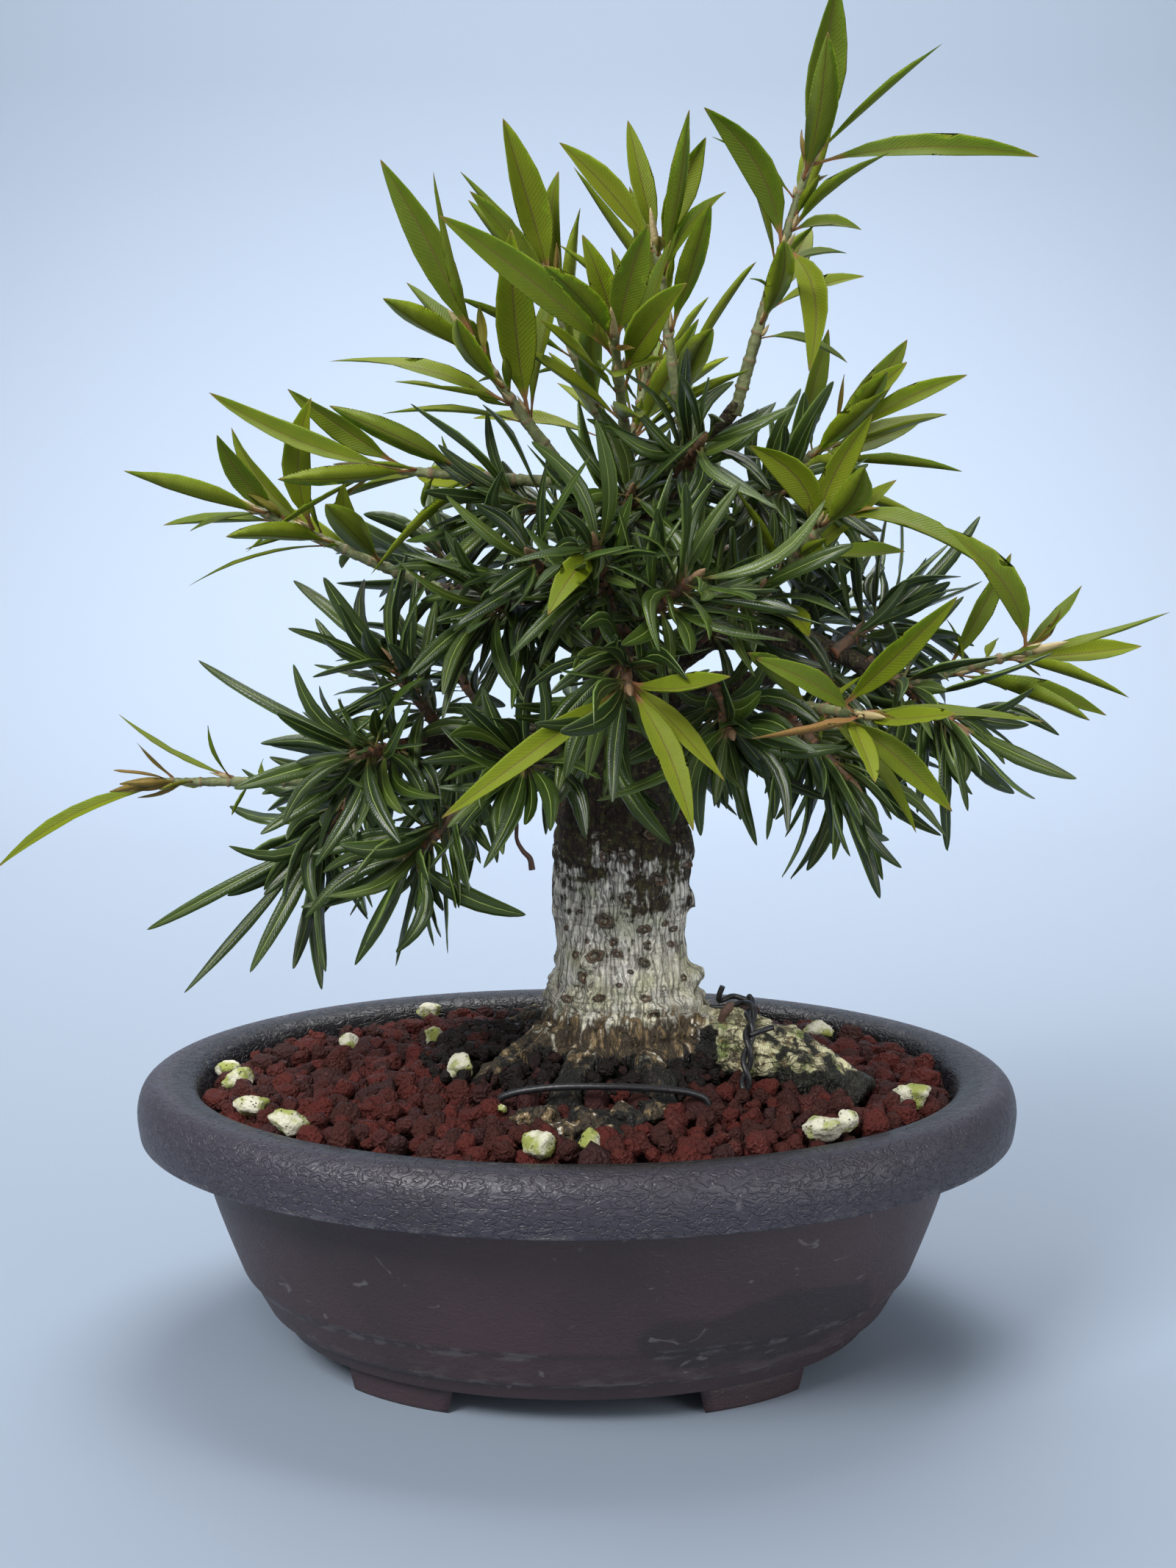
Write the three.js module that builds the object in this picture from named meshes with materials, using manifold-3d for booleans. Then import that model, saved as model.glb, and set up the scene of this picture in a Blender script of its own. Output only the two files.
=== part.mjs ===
// A willow leaf ficus bonsai growing in its oval training pot of moulded plastic.
// Millimetres, +Z up. The pot's centre is at x = y = 0, its feet stand on z = 0 and -Y is the front.

import * as THREE from "three";
import { mergeVertices } from "three/addons/utils/BufferGeometryUtils.js";
import Module from "manifold-3d";

const wasm = await Module();
wasm.setup();

// Pot sizes
const POT_HALF_LENGTH = 77.5;
const POT_HALF_WIDTH = 60;
const POT_HEIGHT = 50;
const POT_SIDES = 28;
const LIP_WIDTH = 10.4;
const LIP_DROP = 9.8; // how far the lip's turned-down edge hangs below its top
const LIP_EDGE = 1.6; // thickness of that edge
const WALL = 2.1;
const FOOT_HEIGHT = 5;
const FLOOR = 2.4;
const FLOOR_TOP = FOOT_HEIGHT + FLOOR;
const BODY_HALF_LENGTH = POT_HALF_LENGTH - LIP_WIDTH; // the body just under the lip
const BODY_FRONT_TAPER = 0.76; // the body draws in less at the front than at its ends
const FOOT_NEAR = 20; // a foot's ends, from the middle of the pot's length
const FOOT_FAR = 39;
const FOOT_DEPTH = 10;
const FOOT_TAPER = 0.88;
const DRAIN_PLACE = 27; // the two drainage holes, from the pot's middle
const DRAIN_RADIUS = 7;

// Clearances and finish of the cuts
const GAP = 0.35;
const WELD = 1e-4;

// Drainage mesh
const MESH_HALF = 10;
const MESH_THICK = 0.9;
const MESH_BAR = 1.6;

// Grit on and in the soil
const GRIT_PITCH = 9.6;
const GRIT_RISE = 1.5;
const GRIT_DIP = 1.0;
const GRIT_FLOOR = 2; // underside of the block that the pot's inside is cut from
const SOIL_EDGE = 45.8; // the soil's height at the pot's ends
const SOIL_CROWN = { x: 4, y: 3, rise: 7.6, spreadX: 36, spreadY: 29 };
const SOIL_FRONT_RISE = 1.7; // it is filled a little higher along the front

// Tie wires
const WIRE_RADIUS = 0.6;
const TWIST_WIRE_RADIUS = 0.5;
const TWIST_RADIUS = 0.68;
const TWIST_TURNS = 3;
const FRONT_WIRE = [
  [-12.5, -25.5, 44],
  [-10.6, -26, 52.4],
  [-4, -27.2, 54.6],
  [5, -28, 55.2],
  [14, -27.4, 54.6],
  [20, -26, 52.6],
  [22, -25.5, 44],
];
const TWISTED_WIRE = [
  [28.4, -18.5, 42],
  [28.5, -17.6, 49],
  [28.8, -15.6, 53.6],
  [29.4, -13, 58.6],
  [30, -8.4, 61.9],
  [30, -2.6, 62.7],
];

// Leaves
const GOLDEN_TURN = 2.39996; // radians from one leaf to the next round a stem
const LEAF_FOLD = 0.22; // how far a blade's edges stand above its rib
const LEAF_KEEL = 0.5; // how far the rib stands below
const INNER_SHARE = 0.5; // this share of a twig's leaves, those nearest the branch, are plainer blades
const RULE_TRIES = 9; // directions tried for a leaf of the rule before its place stays empty
const LEAF_CLEARANCE = 0.16;
const SEEN_TRIES = 48; // facets tried for a leaf seen in one place
const SEEN_TURNS = [0, -12, 12, -24, 24]; // degrees that its face turns at each attempt
const FACET_TRIES = 4; // facets tried for a leaf of the rule at each direction
const STEM_SIDES = 4;
const STEM_GAP = 0.4; // between a stem's foot and the bark that bears it
const STEM_STEP = 3; // length of a stem's facets
const FIRST_LEAF = 0.24; // no leaf grows nearer the branch than this share of the stem

const COLOURS = {
  lip: { color: 0x2b2a30, roughness: 0.5 },
  mesh: { color: 0x17181a, roughness: 0.6 },
  soil: { color: 0x4a221b, roughness: 0.95 },
  bark: { color: 0x8b8878, roughness: 0.85 },
  wire: { color: 0x111113, roughness: 0.45 },
  pumice: { color: 0xc9c8a4, roughness: 0.95 },
  old: { color: 0x2c4a1c, roughness: 0.38 },
  young: { color: 0x6d8f27, roughness: 0.42 },
};

// Trunk sections: height, centre x, centre y, half-breadth across the front, half-depth
const TRUNK_SECTIONS = [
  [41, 9, -1, 15, 12],
  [48, 9, -1.5, 17.2, 14.5],
  [52.5, 9, -1.2, 16.2, 13.8],
  [56, 8.9, -0.6, 15.0, 12.9],
  [59.5, 8.8, -0.2, 14.4, 12.4],
  [62, 8.8, 0, 14.5, 12.4],
  [64.5, 8.5, 0, 13.0, 11.4],
  [68, 8.1, 0, 12.3, 10.9],
  [74, 8.05, 0.2, 11.5, 10.4],
  [80, 8.1, 0.3, 11.9, 10.6],
  [90, 8.1, 0.5, 12.3, 10.9],
  [97, 8, 0.8, 11.6, 10.4],
  [104, 8, 1.2, 10.4, 9.6],
  [111, 7.6, 1.6, 8.2, 7.8],
];
const TRUNK_SIDES = 12;

// Roots and branches: sides, radii from the first point to the last, and the points on the way
const ROOTS = [
  [6, [7.6, 6.8, 6.2, 5.0], [[15, -2, 55], [25, -5, 56], [36, -8, 53.4], [49, -11.5, 46.5]]],
  [5, [5.5, 4.4, 2.6], [[0, -5, 56], [-11, -11, 53], [-23, -15, 45]]],
  [5, [4.8, 3.6, 2.0], [[3, -9, 54], [-1, -20, 51.5], [-4, -31, 45]]],
  [5, [4.4, 3.4, 2.0], [[12, -9, 54], [13, -20, 51.5], [15, -31, 45]]],
  [5, [5.2, 4.2, 2.4], [[2, 6, 56], [-9, 13, 53], [-20, 20, 45]]],
  [5, [5.0, 4.0, 2.2], [[14, 7, 55], [20, 17, 52], [27, 28, 44]]],
];
const BRANCHES = {
  leader: [
    8,
    [7.6, 6.2, 4.8, 3.4, 2.2],
    [[7.6, 1.6, 109], [7, 2, 121], [6, 2, 133], [9, 0, 146], [10, -1, 156]],
  ],
  left_low: [6, [3.6, 2.9, 2.3, 1.7], [[4, -2, 104], [-14, -6, 109], [-29, -10, 109], [-38, -10, 103]]],
  left_back: [6, [3.0, 2.2, 1.5], [[4, 3, 106], [-14, 12, 109], [-30, 16, 105]]],
  left_front: [5, [2.8, 2.1, 1.4], [[3, -4, 103], [-8, -14, 104], [-18, -21, 101]]],
  left_mid: [5, [2.6, 2.0, 1.4], [[6, 0, 124], [-8, -4, 131], [-24, -6, 135]]],
  right_mid: [6, [3.3, 2.6, 2.1, 1.6], [[9, 0, 117], [24, -6, 127], [40, -10, 126], [55, -11, 119]]],
  right_back: [5, [2.9, 2.1, 1.4], [[9, 3, 112], [26, 12, 118], [42, 18, 118]]],
  right_front: [5, [2.8, 2.1, 1.4], [[10, -3, 113], [22, -18, 120], [34, -28, 117]]],
  front: [5, [2.7, 2.1, 1.5], [[7, -3, 122], [7, -18, 127], [7, -34, 127]]],
  back: [5, [2.9, 2.2, 1.5], [[6, 5, 109], [4, 20, 114], [3, 34, 110]]],
  back_high: [5, [2.4, 1.9, 1.4], [[7, 3, 130], [6, 16, 141], [8, 26, 148]]],
  right_high: [5, [2.3, 1.9, 1.5], [[9, 0, 142], [18, -4, 153], [27, -6, 166]]],
  left_high: [5, [2.3, 1.8, 1.4], [[7, 1, 135], [0, -8, 148], [-4, -13, 157]]],
  right_back_high: [5, [2.4, 1.9, 1.4], [[7, 1, 128], [20, 4, 140], [32, 4, 150]]],
};

// Knobs and pruning scars on the bark: place and half-sizes
const KNOBS = [
  [[20.2, -2, 67], [2.9, 3.6, 2.8]],
  [[18.3, -1, 80.7], [2.8, 3.2, 3.0]],
  [[-2.1, -1, 82], [2.4, 3.0, 2.8]],
  [[-3.5, -2, 65.6], [2.9, 3.4, 2.6]],
  [[2.6, -9.1, 71], [2.4, 1.5, 2.1]],
  [[5.2, -9.7, 77.4], [2.3, 1.2, 1.9]],
  [[14.5, -8.9, 66], [2.2, 1.5, 1.9]],
];

// White pumice pebbles among the grit: place and half-sizes
const PUMICE = [
  [[-59.6, -4, 48.6], [3.2, 2.8, 2.6]],
  [[-54.5, -21, 48.9], [3.1, 2.5, 2.2]],
  [[-47, -30, 49.2], [3.4, 2.6, 2.3]],
  [[-20, -12, 53], [2.6, 2.3, 2.6]],
  [[-6, -43, 49.2], [2.7, 2.3, 2.8]],
  [[40, -35, 50.2], [3.8, 2.8, 2.2]],
  [[57, -14, 48.8], [4.2, 2.8, 2.4]],
];

// Kinds of leafy twig. lean: radians between stem and leaf at the first and the last leaf.
const OLD = {
  look: COLOURS.old,
  radii: [1.25, 0.8],
  bud: 3,
  first: 0.34,
  length: 22.5,
  width: 3.8,
  lean: [1.35, 0.5],
  droop: 0.3,
};
const YOUNG = {
  look: COLOURS.young,
  radii: [1.3, 0.75],
  bud: 6,
  first: 0.3,
  length: 24,
  width: 4.6,
  lean: [1.05, 0.35],
  droop: 0.12,
};

// Leafy twigs: kind, where the stem leaves its branch, where its leaves end, leaves set by the rule
const SPRAYS = {
  shoot_top: [YOUNG, [27, -6, 166], [38, -12, 205], 7],
  shoot_centre_front: [YOUNG, [9.6, -0.6, 152], [6, -27, 175], 8],
  shoot_left_top: [YOUNG, [-4, -13, 157], [-17, -18, 175], 6],
  shoot_left_centre: [YOUNG, [9.3, -0.3, 150], [-5, -4, 186], 7],
  shoot_centre_top: [YOUNG, [19, -4.3, 155], [13, -8, 191], 8],
  shoot_left_mid: [YOUNG, [-24, -6, 135], [-53, -9, 148], 6],
  shoot_left_upper: [YOUNG, [-2, -10.5, 152.5], [-34, -12, 155], 7],
  shoot_left_low: [YOUNG, [-38, -10, 103], [-69, -14, 103], 7],
  shoot_right_upper: [YOUNG, [32, 4, 150], [45, -2, 161], 9],
  shoot_right_low: [YOUNG, [55, -11, 119], [75, -16, 125], 6],
  shoot_right_front: [YOUNG, [34, -28, 117], [43, -49, 118], 5],
  shoot_right_fold: [YOUNG, [26, -6.6, 127.2], [41, -27, 148], 7],
  shoot_back_top: [YOUNG, [8, 26, 148], [13, 35, 174], 12],
  leaves_left_low_tip: [OLD, [-33, -10.4, 106.6], [-46, -7, 90], 16],
  leaves_left_low_front: [OLD, [-28, -9.8, 109.1], [-35, -25, 109], 17],
  leaves_left_low_top: [OLD, [-22, -8.2, 109.8], [-31, -12, 123], 16],
  leaves_left_low_under: [OLD, [-18, -21, 101], [-27, -27, 92], 16],
  leaves_left_front_inner: [OLD, [-8, -14, 104], [-8, -31, 109], 18],
  leaves_left_back_tip: [OLD, [-30, 16, 105], [-44, 22, 98], 16],
  leaves_left_back_low: [OLD, [-21, 14.4, 107.8], [-24, 29, 97], 17],
  leaves_left_back_top: [OLD, [-14, 12, 109], [-25, 15, 123], 17],
  leaves_right_low_tip: [OLD, [50, -11, 122], [62, -21, 113], 17],
  leaves_right_low_top: [OLD, [44, -10.4, 125], [54, -3, 131], 18],
  leaves_right_low_under: [OLD, [39, -9.8, 126.2], [46, -12, 108], 17],
  leaves_right_front_tip: [OLD, [30, -25, 118.6], [43, -34, 106], 16],
  leaves_right_front_inner: [OLD, [22, -18, 120], [24, -37, 114], 17],
  leaves_right_back_tip: [OLD, [42, 18, 118], [56, 24, 113], 16],
  leaves_right_back_under: [OLD, [26, 12, 118], [34, 25, 107], 17],
  leaves_right_back_top: [OLD, [34, 15.4, 118.8], [44, 20, 131], 17],
  leaves_front_low: [OLD, [7, -34, 127], [8, -47, 122], 14],
  leaves_front_under: [OLD, [7, -13, 125.2], [4, -26, 112], 16],
  leaves_front_mid: [OLD, [7, -18, 127], [3, -37, 143], 18],
  leaves_front_right: [OLD, [7, -26, 127.6], [18, -41, 138], 17],
  leaves_front_left: [OLD, [4, -0.8, 125.4], [-7, -30, 141], 18],
  leaves_left_mid_front: [OLD, [-8, -4, 131], [-14, -21, 133], 18],
  leaves_left_mid_back: [OLD, [-16, -5.2, 133.4], [-25, 9, 141], 16],
  leaves_right_mid_front: [OLD, [19, -4, 124.2], [29, -24, 136], 17],
  leaves_right_high: [OLD, [27, 4.2, 145.8], [36, -13, 152], 18],
  leaves_right_high_back: [OLD, [20, 4, 140], [37, 15, 142], 16],
  leaves_centre_high: [OLD, [15, -2.6, 149.3], [20, -22, 159], 18],
  leaves_left_high: [OLD, [0, -8, 148], [-12, -15, 149], 18],
  leaves_centre_front: [OLD, [7.7, 1, 141], [9, -18, 151], 17],
  leaves_back_low: [OLD, [3, 34, 110], [0, 47, 104], 16],
  leaves_back_low_right: [OLD, [4, 20, 114], [20, 33, 108], 16],
  leaves_back_mid: [OLD, [6, 16, 141], [-5, 30, 136], 16],
  leaves_back_mid_right: [OLD, [6.6, 20, 144.2], [20, 32, 140], 16],
};

// Leaves whose place and reach can be seen one by one, on the twig that bears them:
// how far along the stem, the leaf's tip, its width and how far its face turns from up to the front
const SEEN_LEAVES = {
  shoot_top: [
    [0.84, [41, -15, 231], 6.4, 84],
    [0.98, [74, -15, 204], 4.2, 50],
    [0.62, [20, -17, 211], 5.2, 80],
    [0.8, [22, -9, 208], 2.8, 30],
    [0.7, [47, -8, 194], 3.6, 35],
    [0.55, [45, -2, 190], 2.6, 15],
    [0.4, [47, -10, 186], 3.2, 20],
    [0.62, [37, -22, 170], 4.6, 80],
    [0.18, [44, -16, 172], 3.4, 25],
  ],
  shoot_centre_front: [
    [0.78, [16, -42, 181], 6.2, 85],
    [0.95, [11, -33, 191], 5.6, 85],
    [0.97, [1, -29, 190], 4.6, 85],
    [0.9, [-20, -35, 193], 5.4, 60],
  ],
  shoot_left_top: [
    [0.98, [-31, -17, 203], 5.6, 85],
    [0.3, [-10, -26, 191], 6.6, 88],
    [0.12, [-31, -20, 163], 3.6, 20],
    [0.5, [-41, -9, 173], 4.8, 50],
    [0.7, [-23, -6, 179], 5.0, 75],
  ],
  shoot_left_centre: [
    [0.97, [-12, -8, 211], 6.4, 86],
    [0.92, [-17, -12, 199], 4.2, 60],
    [0.8, [-3, 2, 204], 4.8, 80],
  ],
  shoot_centre_top: [
    [0.97, [-3, -14, 206], 4.6, 70],
    [0.99, [21, -9, 208], 4.8, 75],
    [0.9, [24, -12, 199], 3.4, 50],
  ],
  shoot_left_mid: [
    [0.72, [-43, -15, 166], 5.0, 88],
    [0.9, [-58, -17, 160], 4.0, 70],
    [1.0, [-64, -12, 145], 2.0, 20],
    [0.6, [-64, -15, 136], 2.6, 20],
    [0.45, [-38, -15, 152], 3.8, 80],
  ],
  shoot_left_upper: [
    [0.95, [-59, -20, 166], 4.4, 40],
  ],
  shoot_left_low: [
    [1.0, [-98, -15, 89], 2.8, 40],
    [0.62, [-77, -11, 114], 2.8, 20],
  ],
  shoot_right_upper: [
    [1.0, [65, -5, 171], 3.6, 45],
    [0.7, [55, -3, 173], 4.4, 30],
  ],
  shoot_right_low: [
    [1.0, [98, -14, 131], 3.2, 30],
    [0.95, [57, -25, 146], 5.6, 75],
    [0.9, [84, -11, 136], 3.0, 35],
  ],
  shoot_right_front: [
    [1.0, [54, -62, 120], 4.6, 30],
    [0.9, [70, -49, 118], 3.0, 25],
    [0.98, [25, -62, 117], 3.8, 25],
    [0.9, [26, -54, 127], 4.6, 50],
    [0.75, [56, -52, 104], 4.4, 70],
  ],
  shoot_right_fold: [
    [0.98, [62, -38, 141], 6.0, 40],
    [0.85, [27, -31, 158], 5.2, 80],
  ],
  shoot_back_top: [[0.6, [14, 62, 180], 5.4, 30]],
  leaves_left_low_top: [
    [1.0, [-42, -12, 137], 3.8, 80],
    [0.6, [-47, -19, 129], 3.6, 40],
  ],
  leaves_left_low_front: [[0.8, [-62, -17, 125], 3.0, 30]],
  leaves_left_low_tip: [
    [0.9, [-72, -17, 79], 3.2, 50],
    [1.0, [-67, -14, 67], 3.0, 50],
    [0.7, [-54, -22, 72], 3.8, 70],
    [0.95, [-44, -9, 66], 3.6, 80],
  ],
  leaves_left_low_under: [
    [1.0, [-36, -29, 75], 3.8, 80],
    [0.9, [-8, -30, 84], 4.4, 60],
  ],
  leaves_front_low: [
    [0.9, [-19, -66, 106], 5.2, 55],
    [1.0, [17, -62, 103], 5.2, 70],
    [0.95, [22, -68, 125], 6.0, 40],
    [0.8, [22, -55, 109], 5.0, 60],
  ],
  leaves_front_mid: [[0.9, [-4, -58, 133], 5.4, 80]],
  leaves_right_front_inner: [[0.95, [3, -46, 105], 3.0, 35]],
  leaves_right_low_under: [
    [0.9, [37, -27, 90], 3.8, 80],
    [1.0, [50, -24, 88], 4.0, 80],
    [0.8, [61, -15, 94], 4.0, 80],
  ],
  leaves_back_low: [[0.9, [-6, 68, 96], 4.6, 30]],
};

// Shape tools

// A repeatable number from 0 to 1 for the i-th thing's k-th choice.
function chance(i, k) {
  const wave = Math.sin(i * 12.9898 + k * 78.233) * 43758.5453;
  return wave - Math.floor(wave);
}

function mix(from, to, share) {
  return from + (to - from) * share;
}

function vector(list) {
  return new THREE.Vector3(...list);
}

// A closed triangle mesh as a solid that can be joined and cut.
function solidOf(geometry) {
  const bare = geometry.clone();
  bare.deleteAttribute("normal");
  bare.deleteAttribute("uv");
  const welded = mergeVertices(bare, WELD);
  return new wasm.Manifold(
    new wasm.Mesh({
      numProp: 3,
      vertProperties: new Float32Array(welded.attributes.position.array),
      triVerts: new Uint32Array(welded.index.array),
    }),
  );
}

function geometryOf(solid) {
  const { vertProperties, triVerts } = solid.getMesh();
  const geometry = new THREE.BufferGeometry();
  geometry.setAttribute("position", new THREE.BufferAttribute(vertProperties, 3));
  geometry.setIndex(new THREE.BufferAttribute(triVerts, 1));
  geometry.computeVertexNormals();
  return geometry;
}

function joined(solids) {
  return solids.reduce((whole, piece) => whole.add(piece));
}

// The largest of a cut solid's bodies, without the crumbs that the cut leaves beside it.
function largest(solid) {
  return solid.decompose().reduce((large, piece) => (piece.volume() > large.volume() ? piece : large));
}

function indexedGeometry(points, faces) {
  const geometry = new THREE.BufferGeometry().setFromPoints(points);
  geometry.setIndex(faces);
  return geometry;
}

// A closed skin over rings of points that run anticlockwise seen from the last ring's end.
// A ring of one point is a sharp tip.
function skin(rings) {
  const points = rings.flat();
  const faces = [];
  let start = 0;
  for (let k = 0; k + 1 < rings.length; k++) {
    const here = rings[k].length;
    const next = rings[k + 1].length;
    const ahead = start + here;
    const sides = Math.max(here, next);
    for (let j = 0; j < sides; j++) {
      const turn = (j + 1) % sides;
      if (here > 1) faces.push(start + j, start + turn, ahead + (next > 1 ? turn : 0));
      if (next > 1) faces.push(start + (here > 1 ? j : 0), ahead + turn, ahead + j);
    }
    start = ahead;
  }
  for (let j = 1; j + 1 < rings.at(-1).length; j++) faces.push(start, start + j, start + j + 1);
  for (let j = 1; j + 1 < rings[0].length; j++) faces.push(0, j + 1, j);
  return indexedGeometry(points, faces);
}

// A round limb through the points. Its radii are spaced evenly along it; grow thickens and lengthens it.
function limb(sides, radii, places, grow = 0) {
  const path = new THREE.CatmullRomCurve3(places.map(vector));
  const steps = radii.length - 1;
  const frames = path.computeFrenetFrames(steps, false);
  const rings = radii.map((radius, k) => {
    const centre = path.getPointAt(k / steps);
    if (k === steps) centre.addScaledVector(frames.tangents[k], grow);
    return Array.from({ length: sides }, (_, j) => {
      const angle = (2 * Math.PI * j) / sides;
      return centre
        .clone()
        .addScaledVector(frames.normals[k], (radius + grow) * Math.cos(angle))
        .addScaledVector(frames.binormals[k], (radius + grow) * Math.sin(angle));
    });
  });
  return solidOf(skin(rings));
}

// An angular lump: a twenty-sided ball stretched to its half-sizes and dented by a wave.
function lump(place, halves, seed, grow = 0) {
  const ball = new THREE.IcosahedronGeometry(1, 0);
  const corners = ball.attributes.position;
  for (let i = 0; i < corners.count; i++) {
    const corner = new THREE.Vector3().fromBufferAttribute(corners, i);
    const dent = 1 + 0.14 * Math.sin(5 * corner.x + 7 * corner.y + 9 * corner.z + seed);
    const reach = vector(halves).multiplyScalar(dent).addScalar(grow);
    corner.multiply(reach).add(vector(place));
    corners.setXYZ(i, corner.x, corner.y, corner.z);
  }
  return solidOf(ball);
}

// A wire of even thickness along a path.
function wire(path, radius, steps, sides) {
  const section = new THREE.Shape(
    Array.from({ length: sides }, (_, j) => {
      const angle = (2 * Math.PI * j) / sides;
      return new THREE.Vector2(radius * Math.cos(angle), radius * Math.sin(angle));
    }),
  );
  const options = { steps, extrudePath: path, bevelEnabled: false, curveSegments: 1 };
  return solidOf(new THREE.ExtrudeGeometry(section, options));
}

// Pot

// The half-width of the oval level whose half-length is r.
function halfAcross(r) {
  const longer = POT_HALF_LENGTH - POT_HALF_WIDTH;
  if (r >= BODY_HALF_LENGTH) return r - longer;
  return Math.max(0, BODY_HALF_LENGTH - longer - (BODY_HALF_LENGTH - r) * BODY_FRONT_TAPER);
}

// A profile of half-lengths and heights turned into an oval solid.
function oval(profile) {
  const outline = profile.map(([r, z]) => new THREE.Vector2(r, z));
  const turned = new THREE.LatheGeometry(outline, POT_SIDES).rotateX(Math.PI / 2);
  const points = turned.attributes.position;
  for (let i = 0; i < points.count; i++) {
    const r = Math.hypot(points.getX(i), points.getY(i));
    if (r > 1) points.setY(i, (points.getY(i) * halfAcross(r)) / r);
  }
  return solidOf(turned);
}

function footAt(alongSide, acrossSide) {
  const edge = [0, 1, 2, 3].map((k) => mix(FOOT_NEAR, FOOT_FAR, k / 3));
  const reach = (x) => 36.6 * Math.sqrt(1 - (x / 50.5) ** 2);
  const outline = [
    ...edge.map((x) => new THREE.Vector2(x * alongSide, reach(x) * acrossSide)),
    ...edge.reverse().map((x) => new THREE.Vector2(x * alongSide, (reach(x) - FOOT_DEPTH) * acrossSide)),
  ];
  const block = new THREE.ExtrudeGeometry(new THREE.Shape(outline), {
    depth: FOOT_HEIGHT + FLOOR / 2,
    bevelEnabled: false,
  });
  const middle = new THREE.Box3().setFromPoints(outline.map((p) => vector([p.x, p.y, 0])));
  const centre = middle.getCenter(new THREE.Vector3());
  const points = block.attributes.position;
  for (let i = 0; i < points.count; i++) {
    if (points.getZ(i) > 0) continue;
    points.setX(i, mix(centre.x, points.getX(i), FOOT_TAPER));
    points.setY(i, mix(centre.y, points.getY(i), FOOT_TAPER));
  }
  return solidOf(block);
}

function potSolid() {
  const lipUnder = POT_HEIGHT - LIP_DROP;
  const shell = oval([
    [0, FOOT_HEIGHT],
    [52, FOOT_HEIGHT],
    [53.6, FOOT_HEIGHT + 3],
    [55.4, FOOT_HEIGHT + 3.6],
    [58.4, 14.2],
    [59.7, 15.4],
    [62.6, 23],
    [65.3, 31],
    [BODY_HALF_LENGTH - 0.1, lipUnder],
    [BODY_HALF_LENGTH + 0.3, POT_HEIGHT - 3.2],
    [POT_HALF_LENGTH - LIP_EDGE - 1.2, POT_HEIGHT - 3],
    [POT_HALF_LENGTH - LIP_EDGE - 0.5, lipUnder],
    [POT_HALF_LENGTH - 0.5, lipUnder],
    [POT_HALF_LENGTH, lipUnder + 4.5],
    [POT_HALF_LENGTH - 0.9, POT_HEIGHT - 1.7],
    [POT_HALF_LENGTH - 3.4, POT_HEIGHT],
    [BODY_HALF_LENGTH + 2.3, POT_HEIGHT - 0.2],
    [BODY_HALF_LENGTH, POT_HEIGHT - 1.4],
    [BODY_HALF_LENGTH - 1.8, lipUnder + 2],
    [65.3 - WALL, 31],
    [59.1 - WALL, 16],
    [53 - WALL, FLOOR_TOP],
    [0, FLOOR_TOP],
  ]);
  const feet = [-1, 1].flatMap((x) => [-1, 1].map((y) => footAt(x, y)));
  const drains = [-1, 1].map((side) => {
    const bore = new THREE.CylinderGeometry(DRAIN_RADIUS, DRAIN_RADIUS, 3 * FLOOR, 14);
    return solidOf(bore.rotateX(Math.PI / 2).translate(side * DRAIN_PLACE, 0, FOOT_HEIGHT + FLOOR / 2));
  });
  return joined([shell, ...feet]).subtract(joined(drains));
}

function drainMesh(side) {
  const hole = MESH_HALF - 1.5 * MESH_BAR;
  const shift = (hole + MESH_BAR) / 2;
  const holeAt = (x, y) => {
    const block = new THREE.BoxGeometry(hole, hole, 3 * MESH_THICK);
    return solidOf(block.translate(x * shift, y * shift, 0));
  };
  const holes = [-1, 1].flatMap((x) => [-1, 1].map((y) => holeAt(x, y)));
  const square = new THREE.BoxGeometry(2 * MESH_HALF, 2 * MESH_HALF, MESH_THICK);
  const plate = solidOf(square).subtract(joined(holes));
  return plate.translate(side * DRAIN_PLACE, 0, FLOOR_TOP + GAP + MESH_THICK / 2);
}

// Soil

// The soil's height at a place, through the middle of its grit.
function ground(x, y) {
  const fromX = (x - SOIL_CROWN.x) / SOIL_CROWN.spreadX;
  const fromY = (y - SOIL_CROWN.y) / SOIL_CROWN.spreadY;
  const crown = SOIL_CROWN.rise * Math.exp(-fromX * fromX - fromY * fromY);
  return SOIL_EDGE + crown + SOIL_FRONT_RISE * Math.max(0, -y / 40);
}

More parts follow.
